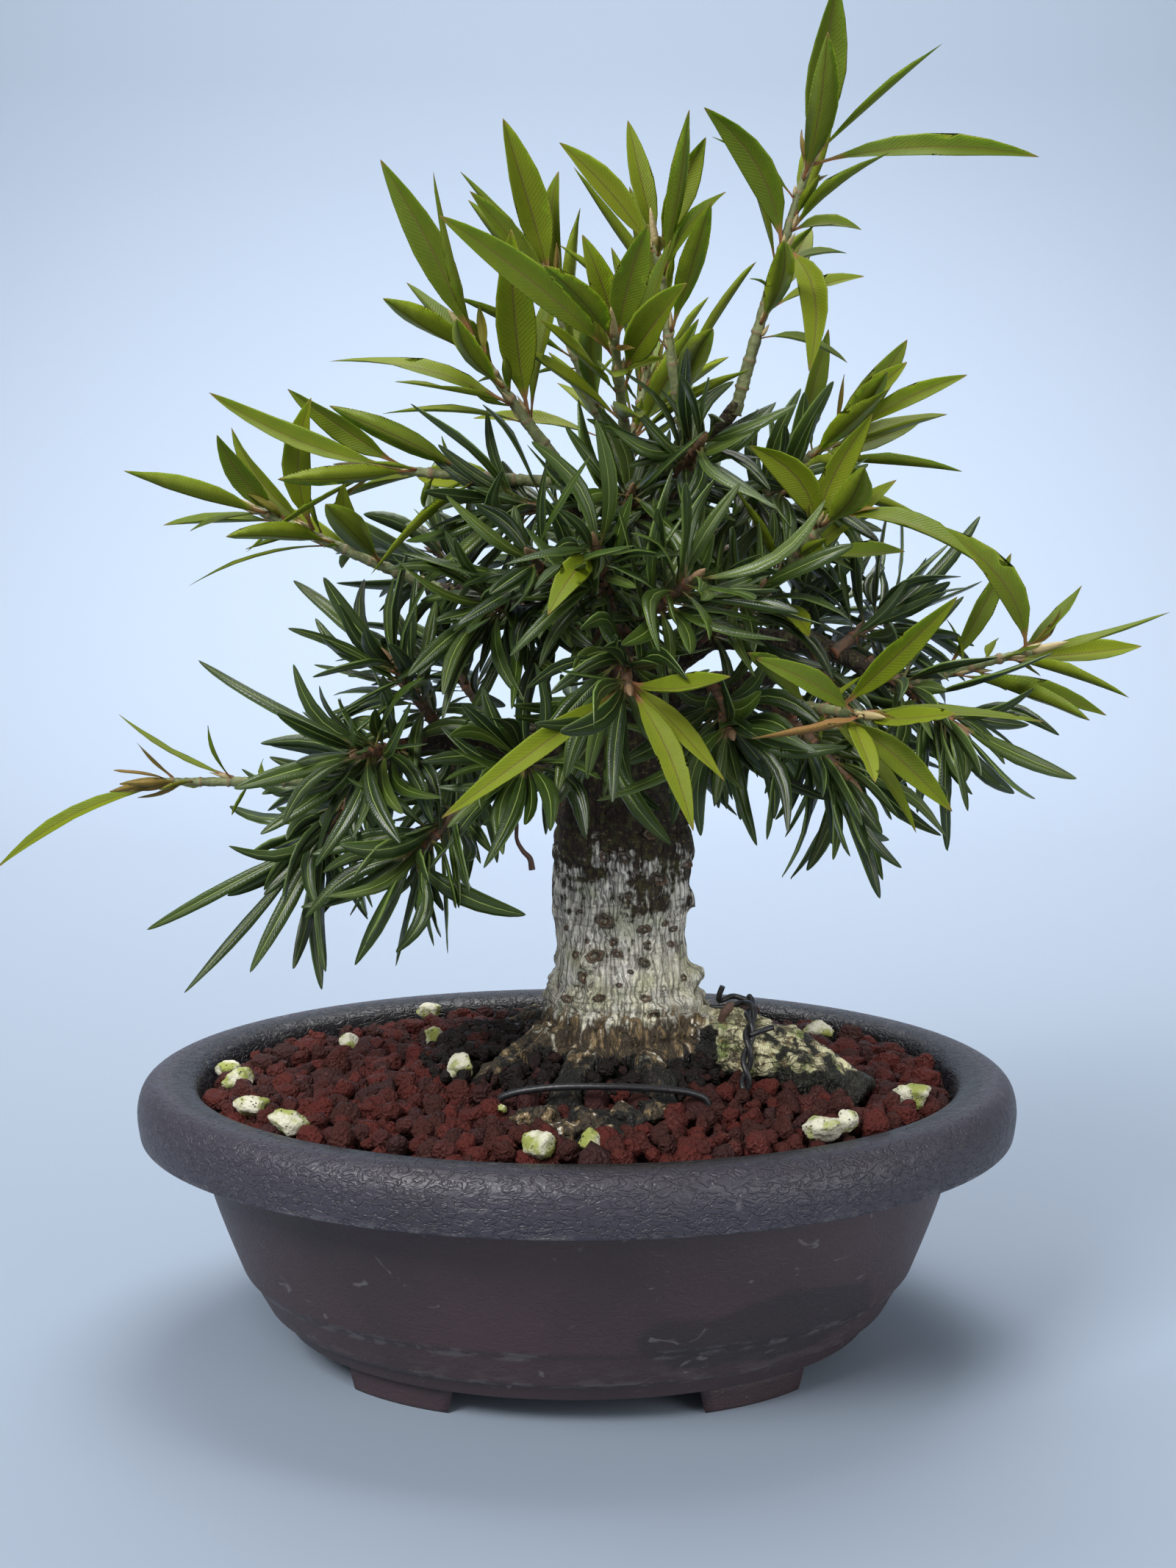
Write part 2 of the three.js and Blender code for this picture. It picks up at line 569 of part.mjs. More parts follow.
// A slab whose top is a field of angular grains, one to each cell of a honeycomb.
function gritSlab() {
  const stepX = GRIT_PITCH / 2;
  const stepY = GRIT_PITCH / Math.sqrt(3) / 2;
  const corners = [[1, 1], [0, 2], [-1, 1], [-1, -1], [0, -2], [1, -1]];
  const topOf = [0, 0, 1, 1, 2, 2]; // the grain's top corner that each cell corner slopes up to
  const points = [];
  const faces = [];
  const valleys = new Map();
  const edges = new Map();

  function valley(u, v) {
    const key = u + "," + v;
    if (!valleys.has(key)) {
      const x = u * stepX + (chance(u, v) - 0.5) * 1.6;
      const y = v * stepY + (chance(v, u + 0.5) - 0.5) * 1.6;
      const dip = GRIT_DIP * (0.6 + 0.8 * chance(u + 0.3, v));
      valleys.set(key, points.length);
      points.push(new THREE.Vector3(x, y, ground(x, y) - dip));
      points.push(new THREE.Vector3(x, y, GRIT_FLOOR));
    }
    return valleys.get(key);
  }

  function grain(u, v, seed) {
    const ring = corners.map(([a, b]) => valley(u + a, v + b));
    const shift = Math.floor(chance(seed, 1) * 6);
    const tops = [0, 1, 2].map((m) => {
      const outward = new THREE.Vector3();
      corners.forEach(([a, b], k) => {
        if (topOf[(k + shift) % 6] === m) outward.add(new THREE.Vector3(a * stepX, b * stepY, 0));
      });
      outward.setLength(GRIT_PITCH * (0.28 + 0.12 * chance(seed, 2 + m)));
      const x = u * stepX + outward.x;
      const y = v * stepY + outward.y;
      const rise = GRIT_RISE * (0.45 + 0.9 * chance(seed, 6)) + (chance(seed, 7 + m) - 0.5) * 1.1;
      points.push(new THREE.Vector3(x, y, ground(x, y) + rise));
      return points.length - 1;
    });
    for (let k = 0; k < 6; k++) {
      const next = (k + 1) % 6;
      const top = tops[topOf[(k + shift) % 6]];
      const nextTop = tops[topOf[(next + shift) % 6]];
      faces.push(ring[k], ring[next], top);
      if (top !== nextTop) faces.push(ring[next], nextTop, top);
      edges.set(ring[k] + "," + ring[next], [ring[k], ring[next]]);
    }
    faces.push(...tops);
    for (let k = 1; k < 5; k++) faces.push(ring[0] + 1, ring[k + 1] + 1, ring[k] + 1);
  }

  const rows = Math.ceil((halfAcross(BODY_HALF_LENGTH) + GRIT_PITCH) / (3 * stepY));
  const columns = Math.ceil((BODY_HALF_LENGTH + GRIT_PITCH) / GRIT_PITCH);
  let seed = 0;
  for (let row = -rows; row <= rows; row++) {
    for (let column = -columns; column <= columns; column++) {
      const u = 2 * column + Math.abs(row % 2);
      const v = 3 * row;
      seed += 1;
      const fromX = (u * stepX) / (BODY_HALF_LENGTH + GRIT_PITCH);
      const fromY = (v * stepY) / (halfAcross(BODY_HALF_LENGTH) + GRIT_PITCH);
      if (fromX * fromX + fromY * fromY < 1) grain(u, v, seed);
    }
  }
  for (const [a, b] of edges.values()) {
    if (edges.has(b + "," + a)) continue;
    faces.push(b, a, a + 1, b, a + 1, b + 1);
  }
  return solidOf(indexedGeometry(points, faces));
}

function soilSolid(pockets) {
  const inside = oval([
    [0, FLOOR_TOP + GAP],
    [53 - WALL - GAP, FLOOR_TOP + GAP],
    [65.3 - WALL - GAP, 31],
    [BODY_HALF_LENGTH - 1.8 - GAP, POT_HEIGHT - LIP_DROP + 2],
    [BODY_HALF_LENGTH - GAP, POT_HEIGHT - 1.4],
    [BODY_HALF_LENGTH - GAP, POT_HEIGHT + 12],
    [0, POT_HEIGHT + 12],
  ]);
  return largest(inside.intersect(gritSlab()).subtract(joined(pockets)));
}

// Tree

// Trunk, roots, knobs and branches in one, thicker by grow where a clearance is wanted.
function woodSolid(grow = 0) {
  const rings = TRUNK_SECTIONS.map(([z, x, y, broad, deep]) =>
    Array.from({ length: TRUNK_SIDES }, (_, j) => {
      const angle = (2 * Math.PI * j) / TRUNK_SIDES;
      const flute = 1 + 0.03 * Math.sin(3 * angle + 0.06 * z) + 0.02 * Math.sin(5 * angle - 0.11 * z);
      return new THREE.Vector3(
        x + (broad * flute + grow) * Math.cos(angle),
        y + (deep * flute + grow) * Math.sin(angle),
        z,
      );
    }),
  );
  const roots = ROOTS.map(([sides, radii, places]) => limb(sides, radii, places, grow));
  const limbs = Object.values(BRANCHES);
  const branches = limbs.map(([sides, radii, places]) => limb(sides, radii, places, grow));
  const knobs = KNOBS.map(([place, halves], i) => lump(place, halves, i, grow));
  return joined([solidOf(skin(rings)), ...roots, ...branches, ...knobs]);
}

// The wire laid across the foot of the trunk, its ends pushed into the soil.
function frontWire(grow = 0) {
  return wire(new THREE.CatmullRomCurve3(FRONT_WIRE.map(vector)), WIRE_RADIUS + grow, 12, 5);
}

// The wire over the right root: bent double below the soil, its two halves twisted round each other.
function twistedWire(grow = 0) {
  const middle = new THREE.CatmullRomCurve3(TWISTED_WIRE.map(vector));
  const strands = [0, 1].map((strand) => {
    const across = new THREE.Vector3(1, 0, 0);
    const places = Array.from({ length: 19 }, (_, k) => {
      const share = k / 18;
      const along = middle.getTangentAt(share);
      const out = new THREE.Vector3().crossVectors(across, along).normalize();
      const angle = 2 * Math.PI * TWIST_TURNS * share + Math.PI * strand;
      return middle
        .getPointAt(share)
        .addScaledVector(across, TWIST_RADIUS * Math.cos(angle))
        .addScaledVector(out, TWIST_RADIUS * Math.sin(angle));
    });
    return wire(new THREE.CatmullRomCurve3(places), TWIST_WIRE_RADIUS + grow, 16, 4);
  });
  const bend = lump(TWISTED_WIRE[0], [1.6, 1.2, 1.2], 0, grow);
  return joined([...strands, bend]);
}

// Leaves

// The blade's outline: how far along it each station is, and its share of the full width.
const RULE_STATIONS = [[0.24, 0.66], [0.6, 1]];
const INNER_STATIONS = [[0.46, 1]];
const SEEN_STATIONS = [[0.2, 0.6], [0.5, 1], [0.78, 0.68]];

// The leaf's curve from its root by way of its bend to its tip. It sets off partly the way the stem runs.
function leafTo(root, stemWay, tip, width, face, spring) {
  const reach = root.distanceTo(tip);
  const straight = tip.clone().sub(root).normalize();
  const way = straight.clone().lerp(stemWay, spring).normalize();
  return { root, bend: root.clone().addScaledVector(way, reach * 0.5), tip, width, face };
}

// Rings of a narrow blade folded a little along its rib: its two edges and the rib below them.
function bladeRings(leaf, stations, grow = 0) {
  const curve = new THREE.QuadraticBezierCurve3(leaf.root, leaf.bend, leaf.tip);
  const rings = stations.map(([share, part]) => {
    const centre = curve.getPoint(share);
    const along = curve.getTangent(share);
    const side = new THREE.Vector3().crossVectors(leaf.face, along).normalize();
    const up = new THREE.Vector3().crossVectors(along, side);
    const half = (part * leaf.width) / 2 + grow;
    const edge = centre.clone().addScaledVector(up, LEAF_FOLD + grow);
    return [
      edge.clone().addScaledVector(side, half),
      edge.clone().addScaledVector(side, -half),
      centre.clone().addScaledVector(up, -LEAF_KEEL - grow),
    ];
  });
  return [...rings, [leaf.tip.clone()]];
}

// The ways to set the blade on the stem facet that it grows from, the least twisted first.
function rootedRings(leaf, stations, facet) {
  const rings = bladeRings(leaf, stations);
  const twist = (turn) => facet.reduce((sum, p, j) => sum + p.distanceTo(rings[0][(j + turn) % 3]), 0);
  const turns = [0, 1, 2].sort((a, b) => twist(a) - twist(b));
  return turns.map((turn) => [[0, 1, 2].map((j) => facet[(j - turn + 3) % 3].clone()), ...rings]);
}

// The triangles of a geometry, each with the box round it.
function trianglesOf(geometry) {
  const points = geometry.attributes.position;
  const faces = geometry.index.array;
  return Array.from({ length: faces.length / 3 }, (_, i) => {
    const corners = [0, 1, 2].map((k) => new THREE.Vector3().fromBufferAttribute(points, faces[3 * i + k]));
    return { corners, box: new THREE.Box3().setFromPoints(corners) };
  });
}

// Whether the edge from p to q goes through a triangle that has neither as a corner.
function pierces(p, q, corners) {
  if (corners.some((corner) => corner.distanceTo(p) < WELD || corner.distanceTo(q) < WELD)) return false;
  const way = q.clone().sub(p);
  const length = way.length();
  const ray = new THREE.Ray(p, way.divideScalar(length));
  const hit = ray.intersectTriangle(...corners, false, new THREE.Vector3());
  return hit !== null && hit.distanceTo(p) < length;
}

function cross(one, other) {
  if (!one.box.intersectsBox(other.box)) return false;
  return [0, 1, 2].some((k) => {
    const next = (k + 1) % 3;
    return (
      pierces(one.corners[k], one.corners[next], other.corners) ||
      pierces(other.corners[k], other.corners[next], one.corners)
    );
  });
}

// A twig's stem. Its foot ends at the bark, which each of its corners meets by itself.
function stemOf([kind, from, to, count], seed, bark) {
  const start = vector(from);
  const end = vector(to);
  const length = start.distanceTo(end);
  const way = end.clone().sub(start).normalize();
  const sideA = new THREE.Vector3().crossVectors(way, new THREE.Vector3(0.3, 0.2, 1)).normalize();
  const sideB = new THREE.Vector3().crossVectors(way, sideA);
  const steps = Math.max(3, Math.round(length / STEM_STEP));
  const ringAt = (k) => {
    const radius = mix(kind.radii[0], kind.radii[1], k / steps);
    return Array.from({ length: STEM_SIDES }, (_, j) => {
      const angle = (2 * Math.PI * (j + 0.5 * (k % 2))) / STEM_SIDES;
      const corner = start.clone().lerp(end, k / steps);
      corner.addScaledVector(sideA, radius * Math.cos(angle));
      return corner.addScaledVector(sideB, radius * Math.sin(angle));
    });
  };
  const barkAlong = (corner) => {
    const far = corner.clone().addScaledVector(way, length);
    const [hit] = new THREE.Raycaster(far, way.clone().negate(), 0, length).intersectObject(bark);
    return hit ? length - hit.distance : 0;
  };
  const step = length / steps;
  const footAtBark = (turned) => {
    const corners = ringAt(turned).map((corner) => corner.addScaledVector(way, -turned * step));
    const reaches = corners.map(barkAlong);
    const crest = Math.max(0, barkAlong(start) - reaches.reduce((sum, reach) => sum + reach) / STEM_SIDES);
    return corners.map((corner, j) => corner.addScaledVector(way, reaches[j] + crest));
  };
  const feet = [0, 1].map(footAtBark);
  const highest = Math.max(...feet.flat().map((corner) => corner.clone().sub(start).dot(way)));
  const first = Math.ceil((highest + STEM_GAP) / step);
  const rings = [feet[(first - 1) % 2]];
  for (let k = first; k <= steps; k++) rings.push(ringAt(k));
  rings.push([end.clone().addScaledVector(way, kind.bud)]);
  return { kind, start, end, way, sideA, sideB, rings, count, seed };
}

// The triangles of a stem's skin, each with its middle, how far along the stem that is and its side.
function facetsOf(stem) {
  const length = stem.start.distanceTo(stem.end);
  return trianglesOf(skin(stem.rings)).map((face) => {
    const middle = face.corners.reduce((sum, p) => sum.add(p), new THREE.Vector3()).divideScalar(3);
    const along = middle.clone().sub(stem.start).dot(stem.way) / length;
    const out = middle.clone().sub(stem.start).addScaledVector(stem.way, -along * length).normalize();
    return { corners: face.corners, faces: [face], middle, along, out, taken: false };
  });
}

// The free facets in order of how well a leaf would stand on each, from its place and the way it points.
function freeFacets(stem, facets, along, out) {
  const length = stem.start.distanceTo(stem.end);
  const cost = (facet) => (Math.abs(facet.along - along) * length) / 2 - 2 * facet.out.dot(out);
  const free = facets.filter((facet) => !facet.taken && facet.along > FIRST_LEAF && facet.along < 1);
  return free.sort((a, b) => cost(a) - cost(b));
}

// A leaf with a place of its own. Each new attempt turns its face and straightens its start.
function seenLeaf(stem, [, tip, width, turn], facet, attempt) {
  const angle = THREE.MathUtils.degToRad(turn + SEEN_TURNS[attempt]);
  const face = new THREE.Vector3(0, -Math.sin(angle), Math.cos(angle));
  return leafTo(facet.middle, stem.way, vector(tip), width, face, 0.35 - 0.06 * attempt);
}

// The direction out of the stem at an angle round it.
function outward(stem, turn) {
  return stem.sideA.clone().multiplyScalar(Math.cos(turn)).addScaledVector(stem.sideB, Math.sin(turn));
}

// The angle round the stem at which the i-th leaf of the rule stands, and how far along it is.
function rulePlace(stem, i) {
  const along = mix(stem.kind.first, 0.97, i / (stem.count - 1));
  return { along, turn: i * GOLDEN_TURN + stem.seed * 1.7 };
}

// The i-th leaf that a twig's rule sets, turned aside further on each new attempt.
function ruleLeaf(stem, i, facet, attempt) {
  const kind = stem.kind;
  const pick = (k) => chance(stem.seed * 31 + i, k);
  const swing = (attempt % 2 ? 0.3 : -0.3) * Math.ceil(attempt / 2);
  const { turn, along } = rulePlace(stem, i);
  const lean = mix(kind.lean[0], kind.lean[1], along) + (pick(1) - 0.5) * 0.35 - 0.05 * attempt;
  const out = outward(stem, turn + swing).multiplyScalar(0.6).add(facet.out).normalize();
  const way = stem.way.clone().multiplyScalar(Math.cos(lean)).addScaledVector(out, Math.sin(lean));
  const length = kind.length * (0.82 + 0.34 * pick(2)) * (1 - 0.02 * attempt);
  const tip = way.clone().multiplyScalar(length);
  tip.z -= kind.droop * length * (0.4 + 0.9 * pick(3)) * Math.hypot(way.x, way.y);
  tip.setLength(length).add(facet.middle);
  const face = stem.way.clone().multiplyScalar(0.6).addScaledVector(out, -0.25);
  face.z += 0.5;
  return leafTo(facet.middle, stem.way, tip, kind.width * (0.85 + 0.3 * pick(4)), face, 0.22);
}

function boxOf(solid) {
  const { min, max } = solid.boundingBox();
  return new THREE.Box3(vector([...min]), vector([...max]));
}

// A twig's skin with each placed leaf standing in the place of its facet.
function twigSolid(facets) {
  const corners = facets.flatMap((facet) => facet.faces.flatMap((face) => face.corners));
  return solidOf(indexedGeometry(corners, corners.map((_, i) => i)));
}

// Every leafy twig as one solid. A leaf that would cross another, or the wood, is turned aside,
// and its place stays empty if no turn clears it.
function foliage(woodClear) {
  const names = Object.keys(SPRAYS);
  const bark = new THREE.Mesh(geometryOf(woodSolid(STEM_GAP)));
  const stems = names.map((name, i) => stemOf(SPRAYS[name], i + 1, bark));
  const facets = stems.map(facetsOf);
  const placed = stems.map((stem, owner) => {
    const solid = solidOf(skin(stem.rings));
    return { owner, solid, box: boxOf(solid) };
  });
  const woodBox = boxOf(woodClear);

  // Whether the leaf, a little thickened, stays clear of the wood and of the other twigs.
  function clears(owner, leaf, stations, foot) {
    const spread = foot.map((p) => p.clone().sub(leaf.root).multiplyScalar(1.15).add(leaf.root));
    const wide = solidOf(skin([spread, ...bladeRings(leaf, stations, LEAF_CLEARANCE)]));
    const box = boxOf(wide);
    if (woodBox.intersectsBox(box) && wide.intersect(woodClear).volume() > 0) return false;
    return placed.every((other) => {
      if (other.owner === owner || !other.box.intersectsBox(box)) return true;
      return wide.intersect(other.solid).volume() === 0;
    });
  }

  function place(owner, leaf, stations, facet) {
    const others = facets[owner].filter((one) => one !== facet).flatMap((one) => one.faces);
    for (const rings of rootedRings(leaf, stations, facet.corners)) {
      const faces = trianglesOf(skin(rings)).slice(0, -1); // the skin puts the foot's own triangle last
      if (faces.some((one, i) => faces.slice(i + 1).some((other) => cross(one, other)))) continue;
      if (faces.some((one) => others.some((other) => cross(one, other)))) continue;
      if (!clears(owner, leaf, stations, rings[0])) continue;
      const solid = solidOf(skin(rings));
      placed.push({ owner, solid, box: boxOf(solid) });
      Object.assign(facet, { faces, taken: true });
      return true;
    }
    return false;
  }

  names.forEach((name, owner) => {
    const stem = stems[owner];
    for (const row of SEEN_LEAVES[name] ?? []) {
      const spot = stem.start.clone().lerp(stem.end, row[0]);
      const out = vector(row[1]).sub(spot).normalize();
      const choices = freeFacets(stem, facets[owner], row[0], out).slice(0, SEEN_TRIES);
      SEEN_TURNS.some((_, attempt) =>
        choices.some((facet) => place(owner, seenLeaf(stem, row, facet, attempt), SEEN_STATIONS, facet)),
      );
    }
  });
  const attempts = Array.from({ length: RULE_TRIES }, (_, attempt) => attempt);
  const most = Math.max(...stems.map((stem) => stem.count));
  for (let round = 0; round < most; round++) {
    stems.forEach((stem, owner) => {
      const i = stem.count - 1 - round;
      if (i < 0) return;
      const stations = i < INNER_SHARE * stem.count ? INNER_STATIONS : RULE_STATIONS;
      const { along, turn } = rulePlace(stem, i);
      const choices = freeFacets(stem, facets[owner], along, outward(stem, turn)).slice(0, FACET_TRIES);
      attempts.some((attempt) =>
        choices.some((facet) => place(owner, ruleLeaf(stem, i, facet, attempt), stations, facet)),
      );
    });
  }
  return names.map((name, owner) => {
    return { name, look: stems[owner].kind.look, solid: twigSolid(facets[owner]) };
  });
}

// The whole plant in its pot

const bonsai = new THREE.Group();

function addPiece(name, solid, look) {
  const material = new THREE.MeshStandardMaterial({ ...look, metalness: 0 });
  const mesh = new THREE.Mesh(geometryOf(solid), material);
  mesh.name = name;
  bonsai.add(mesh);
}

const meshes = [-1, 1].map(drainMesh);
const wood = woodSolid().subtract(joined([frontWire(GAP), twistedWire(GAP)]));
const woodClear = woodSolid(GAP);
const pebblePockets = PUMICE.map(([place, halves], i) => lump(place, halves, i, GAP));
const meshPockets = [-1, 1].map((side) => {
  const span = 2 * (MESH_HALF + GAP);
  const room = new THREE.BoxGeometry(span, span, 2 * (MESH_THICK + 2 * GAP));
  return solidOf(room.translate(side * DRAIN_PLACE, 0, FLOOR_TOP));
});

addPiece("pot", potSolid(), COLOURS.lip);
addPiece("drain_mesh_left", meshes[0], COLOURS.mesh);
addPiece("drain_mesh_right", meshes[1], COLOURS.mesh);
const pockets = [woodClear, frontWire(GAP), twistedWire(GAP), ...pebblePockets, ...meshPockets];
addPiece("soil_grit", soilSolid(pockets), COLOURS.soil);
addPiece("trunk_roots_branches", wood, COLOURS.bark);
addPiece("tie_wire_front", frontWire(), COLOURS.wire);
addPiece("tie_wire_twisted", twistedWire(), COLOURS.wire);
PUMICE.forEach(([place, halves], i) => {
  addPiece("pumice_" + (i + 1), lump(place, halves, i).subtract(woodClear), COLOURS.pumice);
});
for (const { name, look, solid } of foliage(woodClear)) addPiece(name, solid, look);

export default bonsai;
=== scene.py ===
"""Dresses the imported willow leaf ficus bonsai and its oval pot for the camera.

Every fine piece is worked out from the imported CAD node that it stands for. A twig's leaves follow the faceted
leaves of its node, the bark follows the faceted wood, and the pot, grit and wires repeat their nodes' sizes.
Lengths in the classes are millimetres, turned into Blender's metres where a mesh is made.
"""

from __future__ import annotations

import logging
import math
from dataclasses import dataclass, field
from enum import Enum
from itertools import combinations
from typing import ClassVar, Sequence

import bpy
import numpy as np
from bpy.types import Material, NodeSocket, Object
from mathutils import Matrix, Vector
from mathutils.bvhtree import BVHTree

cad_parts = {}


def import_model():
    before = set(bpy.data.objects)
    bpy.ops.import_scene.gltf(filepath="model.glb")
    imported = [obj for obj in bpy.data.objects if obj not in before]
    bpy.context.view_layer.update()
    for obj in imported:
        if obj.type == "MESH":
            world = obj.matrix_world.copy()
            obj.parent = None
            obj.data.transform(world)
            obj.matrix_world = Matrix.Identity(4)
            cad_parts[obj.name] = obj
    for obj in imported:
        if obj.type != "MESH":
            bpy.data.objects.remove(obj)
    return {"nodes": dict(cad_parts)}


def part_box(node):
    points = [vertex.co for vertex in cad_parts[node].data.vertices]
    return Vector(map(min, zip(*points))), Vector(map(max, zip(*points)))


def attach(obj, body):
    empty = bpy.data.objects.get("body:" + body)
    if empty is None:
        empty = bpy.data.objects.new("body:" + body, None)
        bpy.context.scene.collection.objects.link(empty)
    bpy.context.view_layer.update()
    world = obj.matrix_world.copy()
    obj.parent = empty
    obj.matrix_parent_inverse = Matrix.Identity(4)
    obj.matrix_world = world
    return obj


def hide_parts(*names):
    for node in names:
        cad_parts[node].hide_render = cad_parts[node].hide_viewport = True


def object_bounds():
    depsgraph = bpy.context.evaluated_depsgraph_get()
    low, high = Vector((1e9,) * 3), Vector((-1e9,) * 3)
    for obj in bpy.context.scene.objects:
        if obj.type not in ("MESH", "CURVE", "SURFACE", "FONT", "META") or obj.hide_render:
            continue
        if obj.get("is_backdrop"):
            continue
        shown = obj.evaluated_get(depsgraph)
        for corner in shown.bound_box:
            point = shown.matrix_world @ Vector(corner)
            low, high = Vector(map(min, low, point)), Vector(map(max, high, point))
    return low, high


LOG = logging.getLogger("bonsai")
MM = 0.001
# The turn from one added leaf to the next, in radians.
GOLDEN_TURN = 2.39996
# The trunk's middle along the pot, in millimetres.
TRUNK_MIDDLE = 8.2
Array = np.ndarray
Pair = tuple[float, float]
Colour = tuple[float, float, float]
Triple = tuple[float, float, float]
EVEN = (1.0, 1.0, 1.0)


class Age(Enum):
    """How old a leaf is, which sets its colour and its shape."""

    MATURE = "mature"
    YOUNG = "young"


@dataclass(frozen=True)
class PhotoView:
    """The photograph's camera, in millimetres and in the pixels of its 1600 x 2133 frame."""

    place: Triple = (1.9, -342.4, 150.1)
    pitch: float = 0.1436
    focal: float = 2700.0
    width: float = 1600.0
    height: float = 2133.0

    def at_depth(self, pixel: Pair, y: float) -> Triple:
        """Finds the point of the upright plane at depth y that a pixel shows.

        Args:
            pixel: Column and row in the photograph's frame.
            y: The plane's place along the Y axis, in millimetres.

        Returns:
            The point's x, y and z in millimetres.
        """
        across = (pixel[0] - self.width / 2) / self.focal
        down = (pixel[1] - self.height / 2) / self.focal
        forward = math.cos(self.pitch) - down * math.sin(self.pitch)
        rise = -math.sin(self.pitch) - down * math.cos(self.pitch)
        reach = (y - self.place[1]) / forward
        return (self.place[0] + across * reach, y, self.place[2] + rise * reach)

    def pixel(self, point: Sequence[float]) -> Pair:
        """Finds where the photograph shows a point.

        Args:
            point: Its x, y and z in millimetres.

        Returns:
            Column and row in the photograph's frame.
        """
        x, y, z = (float(point[k]) - self.place[k] for k in range(3))
        ahead = y * math.cos(self.pitch) - z * math.sin(self.pitch)
        above = y * math.sin(self.pitch) + z * math.cos(self.pitch)
        return (self.width / 2 + self.focal * x / ahead, self.height / 2 - self.focal * above / ahead)


VIEW = PhotoView()


def hashed(cells: Array, seed: float) -> Array:
    """Gives each lattice cell a repeatable number.

    Args:
        cells: Whole numbers, one row of three to a cell.
        seed: Sets one pattern apart from another.

    Returns:
        Numbers from 0 to 1, one to a cell.
    """
    wave = np.sin(cells @ np.array([127.1, 311.7, 74.7]) + seed * 19.19) * 43758.5453
    return wave - np.floor(wave)


def smooth_noise(points: Array, seed: float) -> Array:
    """Measures smooth noise of one cell to a unit.

    Args:
        points: Places, one row of three each.
        seed: Sets one pattern apart from another.

    Returns:
        Numbers from -1 to 1, one to a place.
    """
    base = np.floor(points)
    part = points - base
    part = part * part * (3 - 2 * part)
    total = np.zeros(len(points))
    for corner in np.ndindex(2, 2, 2):
        share = np.prod(np.where(np.array(corner) == 1, part, 1 - part), axis=1)
        total += share * hashed(base + corner, seed)
    return 2 * total - 1


def fractal(points: Array, octaves: int, seed: float) -> Array:
    """Sums noise of finer and finer grain.

    Args:
        points: Places, one row of three each, one cell of the coarsest noise to a unit.
        octaves: How many grains are summed.
        seed: Sets one pattern apart from another.

    Returns:
        Numbers of about -1 to 1, one to a place.
    """
    total = np.zeros(len(points))
    for k in range(octaves):
        total += 0.5**k * smooth_noise(points * 2.0**k, seed + 7 * k)
    return total


def eased(values: Array | float, low: float, high: float) -> Array:
    """Rises smoothly from 0 at low to 1 at high.

    Args:
        values: What is measured.
        low: Where the rise starts.
        high: Where it ends.

    Returns:
        Numbers from 0 to 1.
    """
    share = np.clip((values - low) / (high - low), 0, 1)
    return share * share * (3 - 2 * share)


def unit(rows: Array) -> Array:
    """Scales each row to length 1.

    Args:
        rows: Vectors along the last axis.

    Returns:
        The vectors' directions.
    """
    return rows / np.maximum(np.linalg.norm(rows, axis=-1, keepdims=True), 1e-12)


class Socket:
    """A shader socket that Python's operators work on."""

    def __init__(self, graph: Graph, out: NodeSocket) -> None:
        """Wraps an output of one of the graph's nodes."""
        self.graph = graph
        self.out = out

    def _with(self, operation: str, *values: Socket | float) -> Socket:
        """Adds a Math node on the values."""
        return self.graph.node("ShaderNodeMath", {"operation": operation}, *values)

    def __add__(self, other: Socket | float) -> Socket:
        """Adds a socket or a number."""
        return self._with("ADD", self, other)

    def __radd__(self, other: float) -> Socket:
        """Adds this to a number."""
        return self._with("ADD", other, self)

    def __sub__(self, other: Socket | float) -> Socket:
        """Subtracts a socket or a number."""
        return self._with("SUBTRACT", self, other)

    def __rsub__(self, other: float) -> Socket:
        """Subtracts this from a number."""
        return self._with("SUBTRACT", other, self)

    def __mul__(self, other: Socket | float) -> Socket:
        """Multiplies by a socket or a number."""
        return self._with("MULTIPLY", self, other)

    def __rmul__(self, other: float) -> Socket:
        """Multiplies a number by this."""
        return self._with("MULTIPLY", other, self)

    def __abs__(self) -> Socket:
        """Takes the value without its sign."""
        return self._with("ABSOLUTE", self)

    def rise(self, low: float, high: float) -> Socket:
        """Maps the value to a smooth step, from 0 at low to 1 at high."""
        settings = {"interpolation_type": "SMOOTHSTEP"}
        return self.graph.node("ShaderNodeMapRange", settings, self, low, high, 0.0, 1.0)


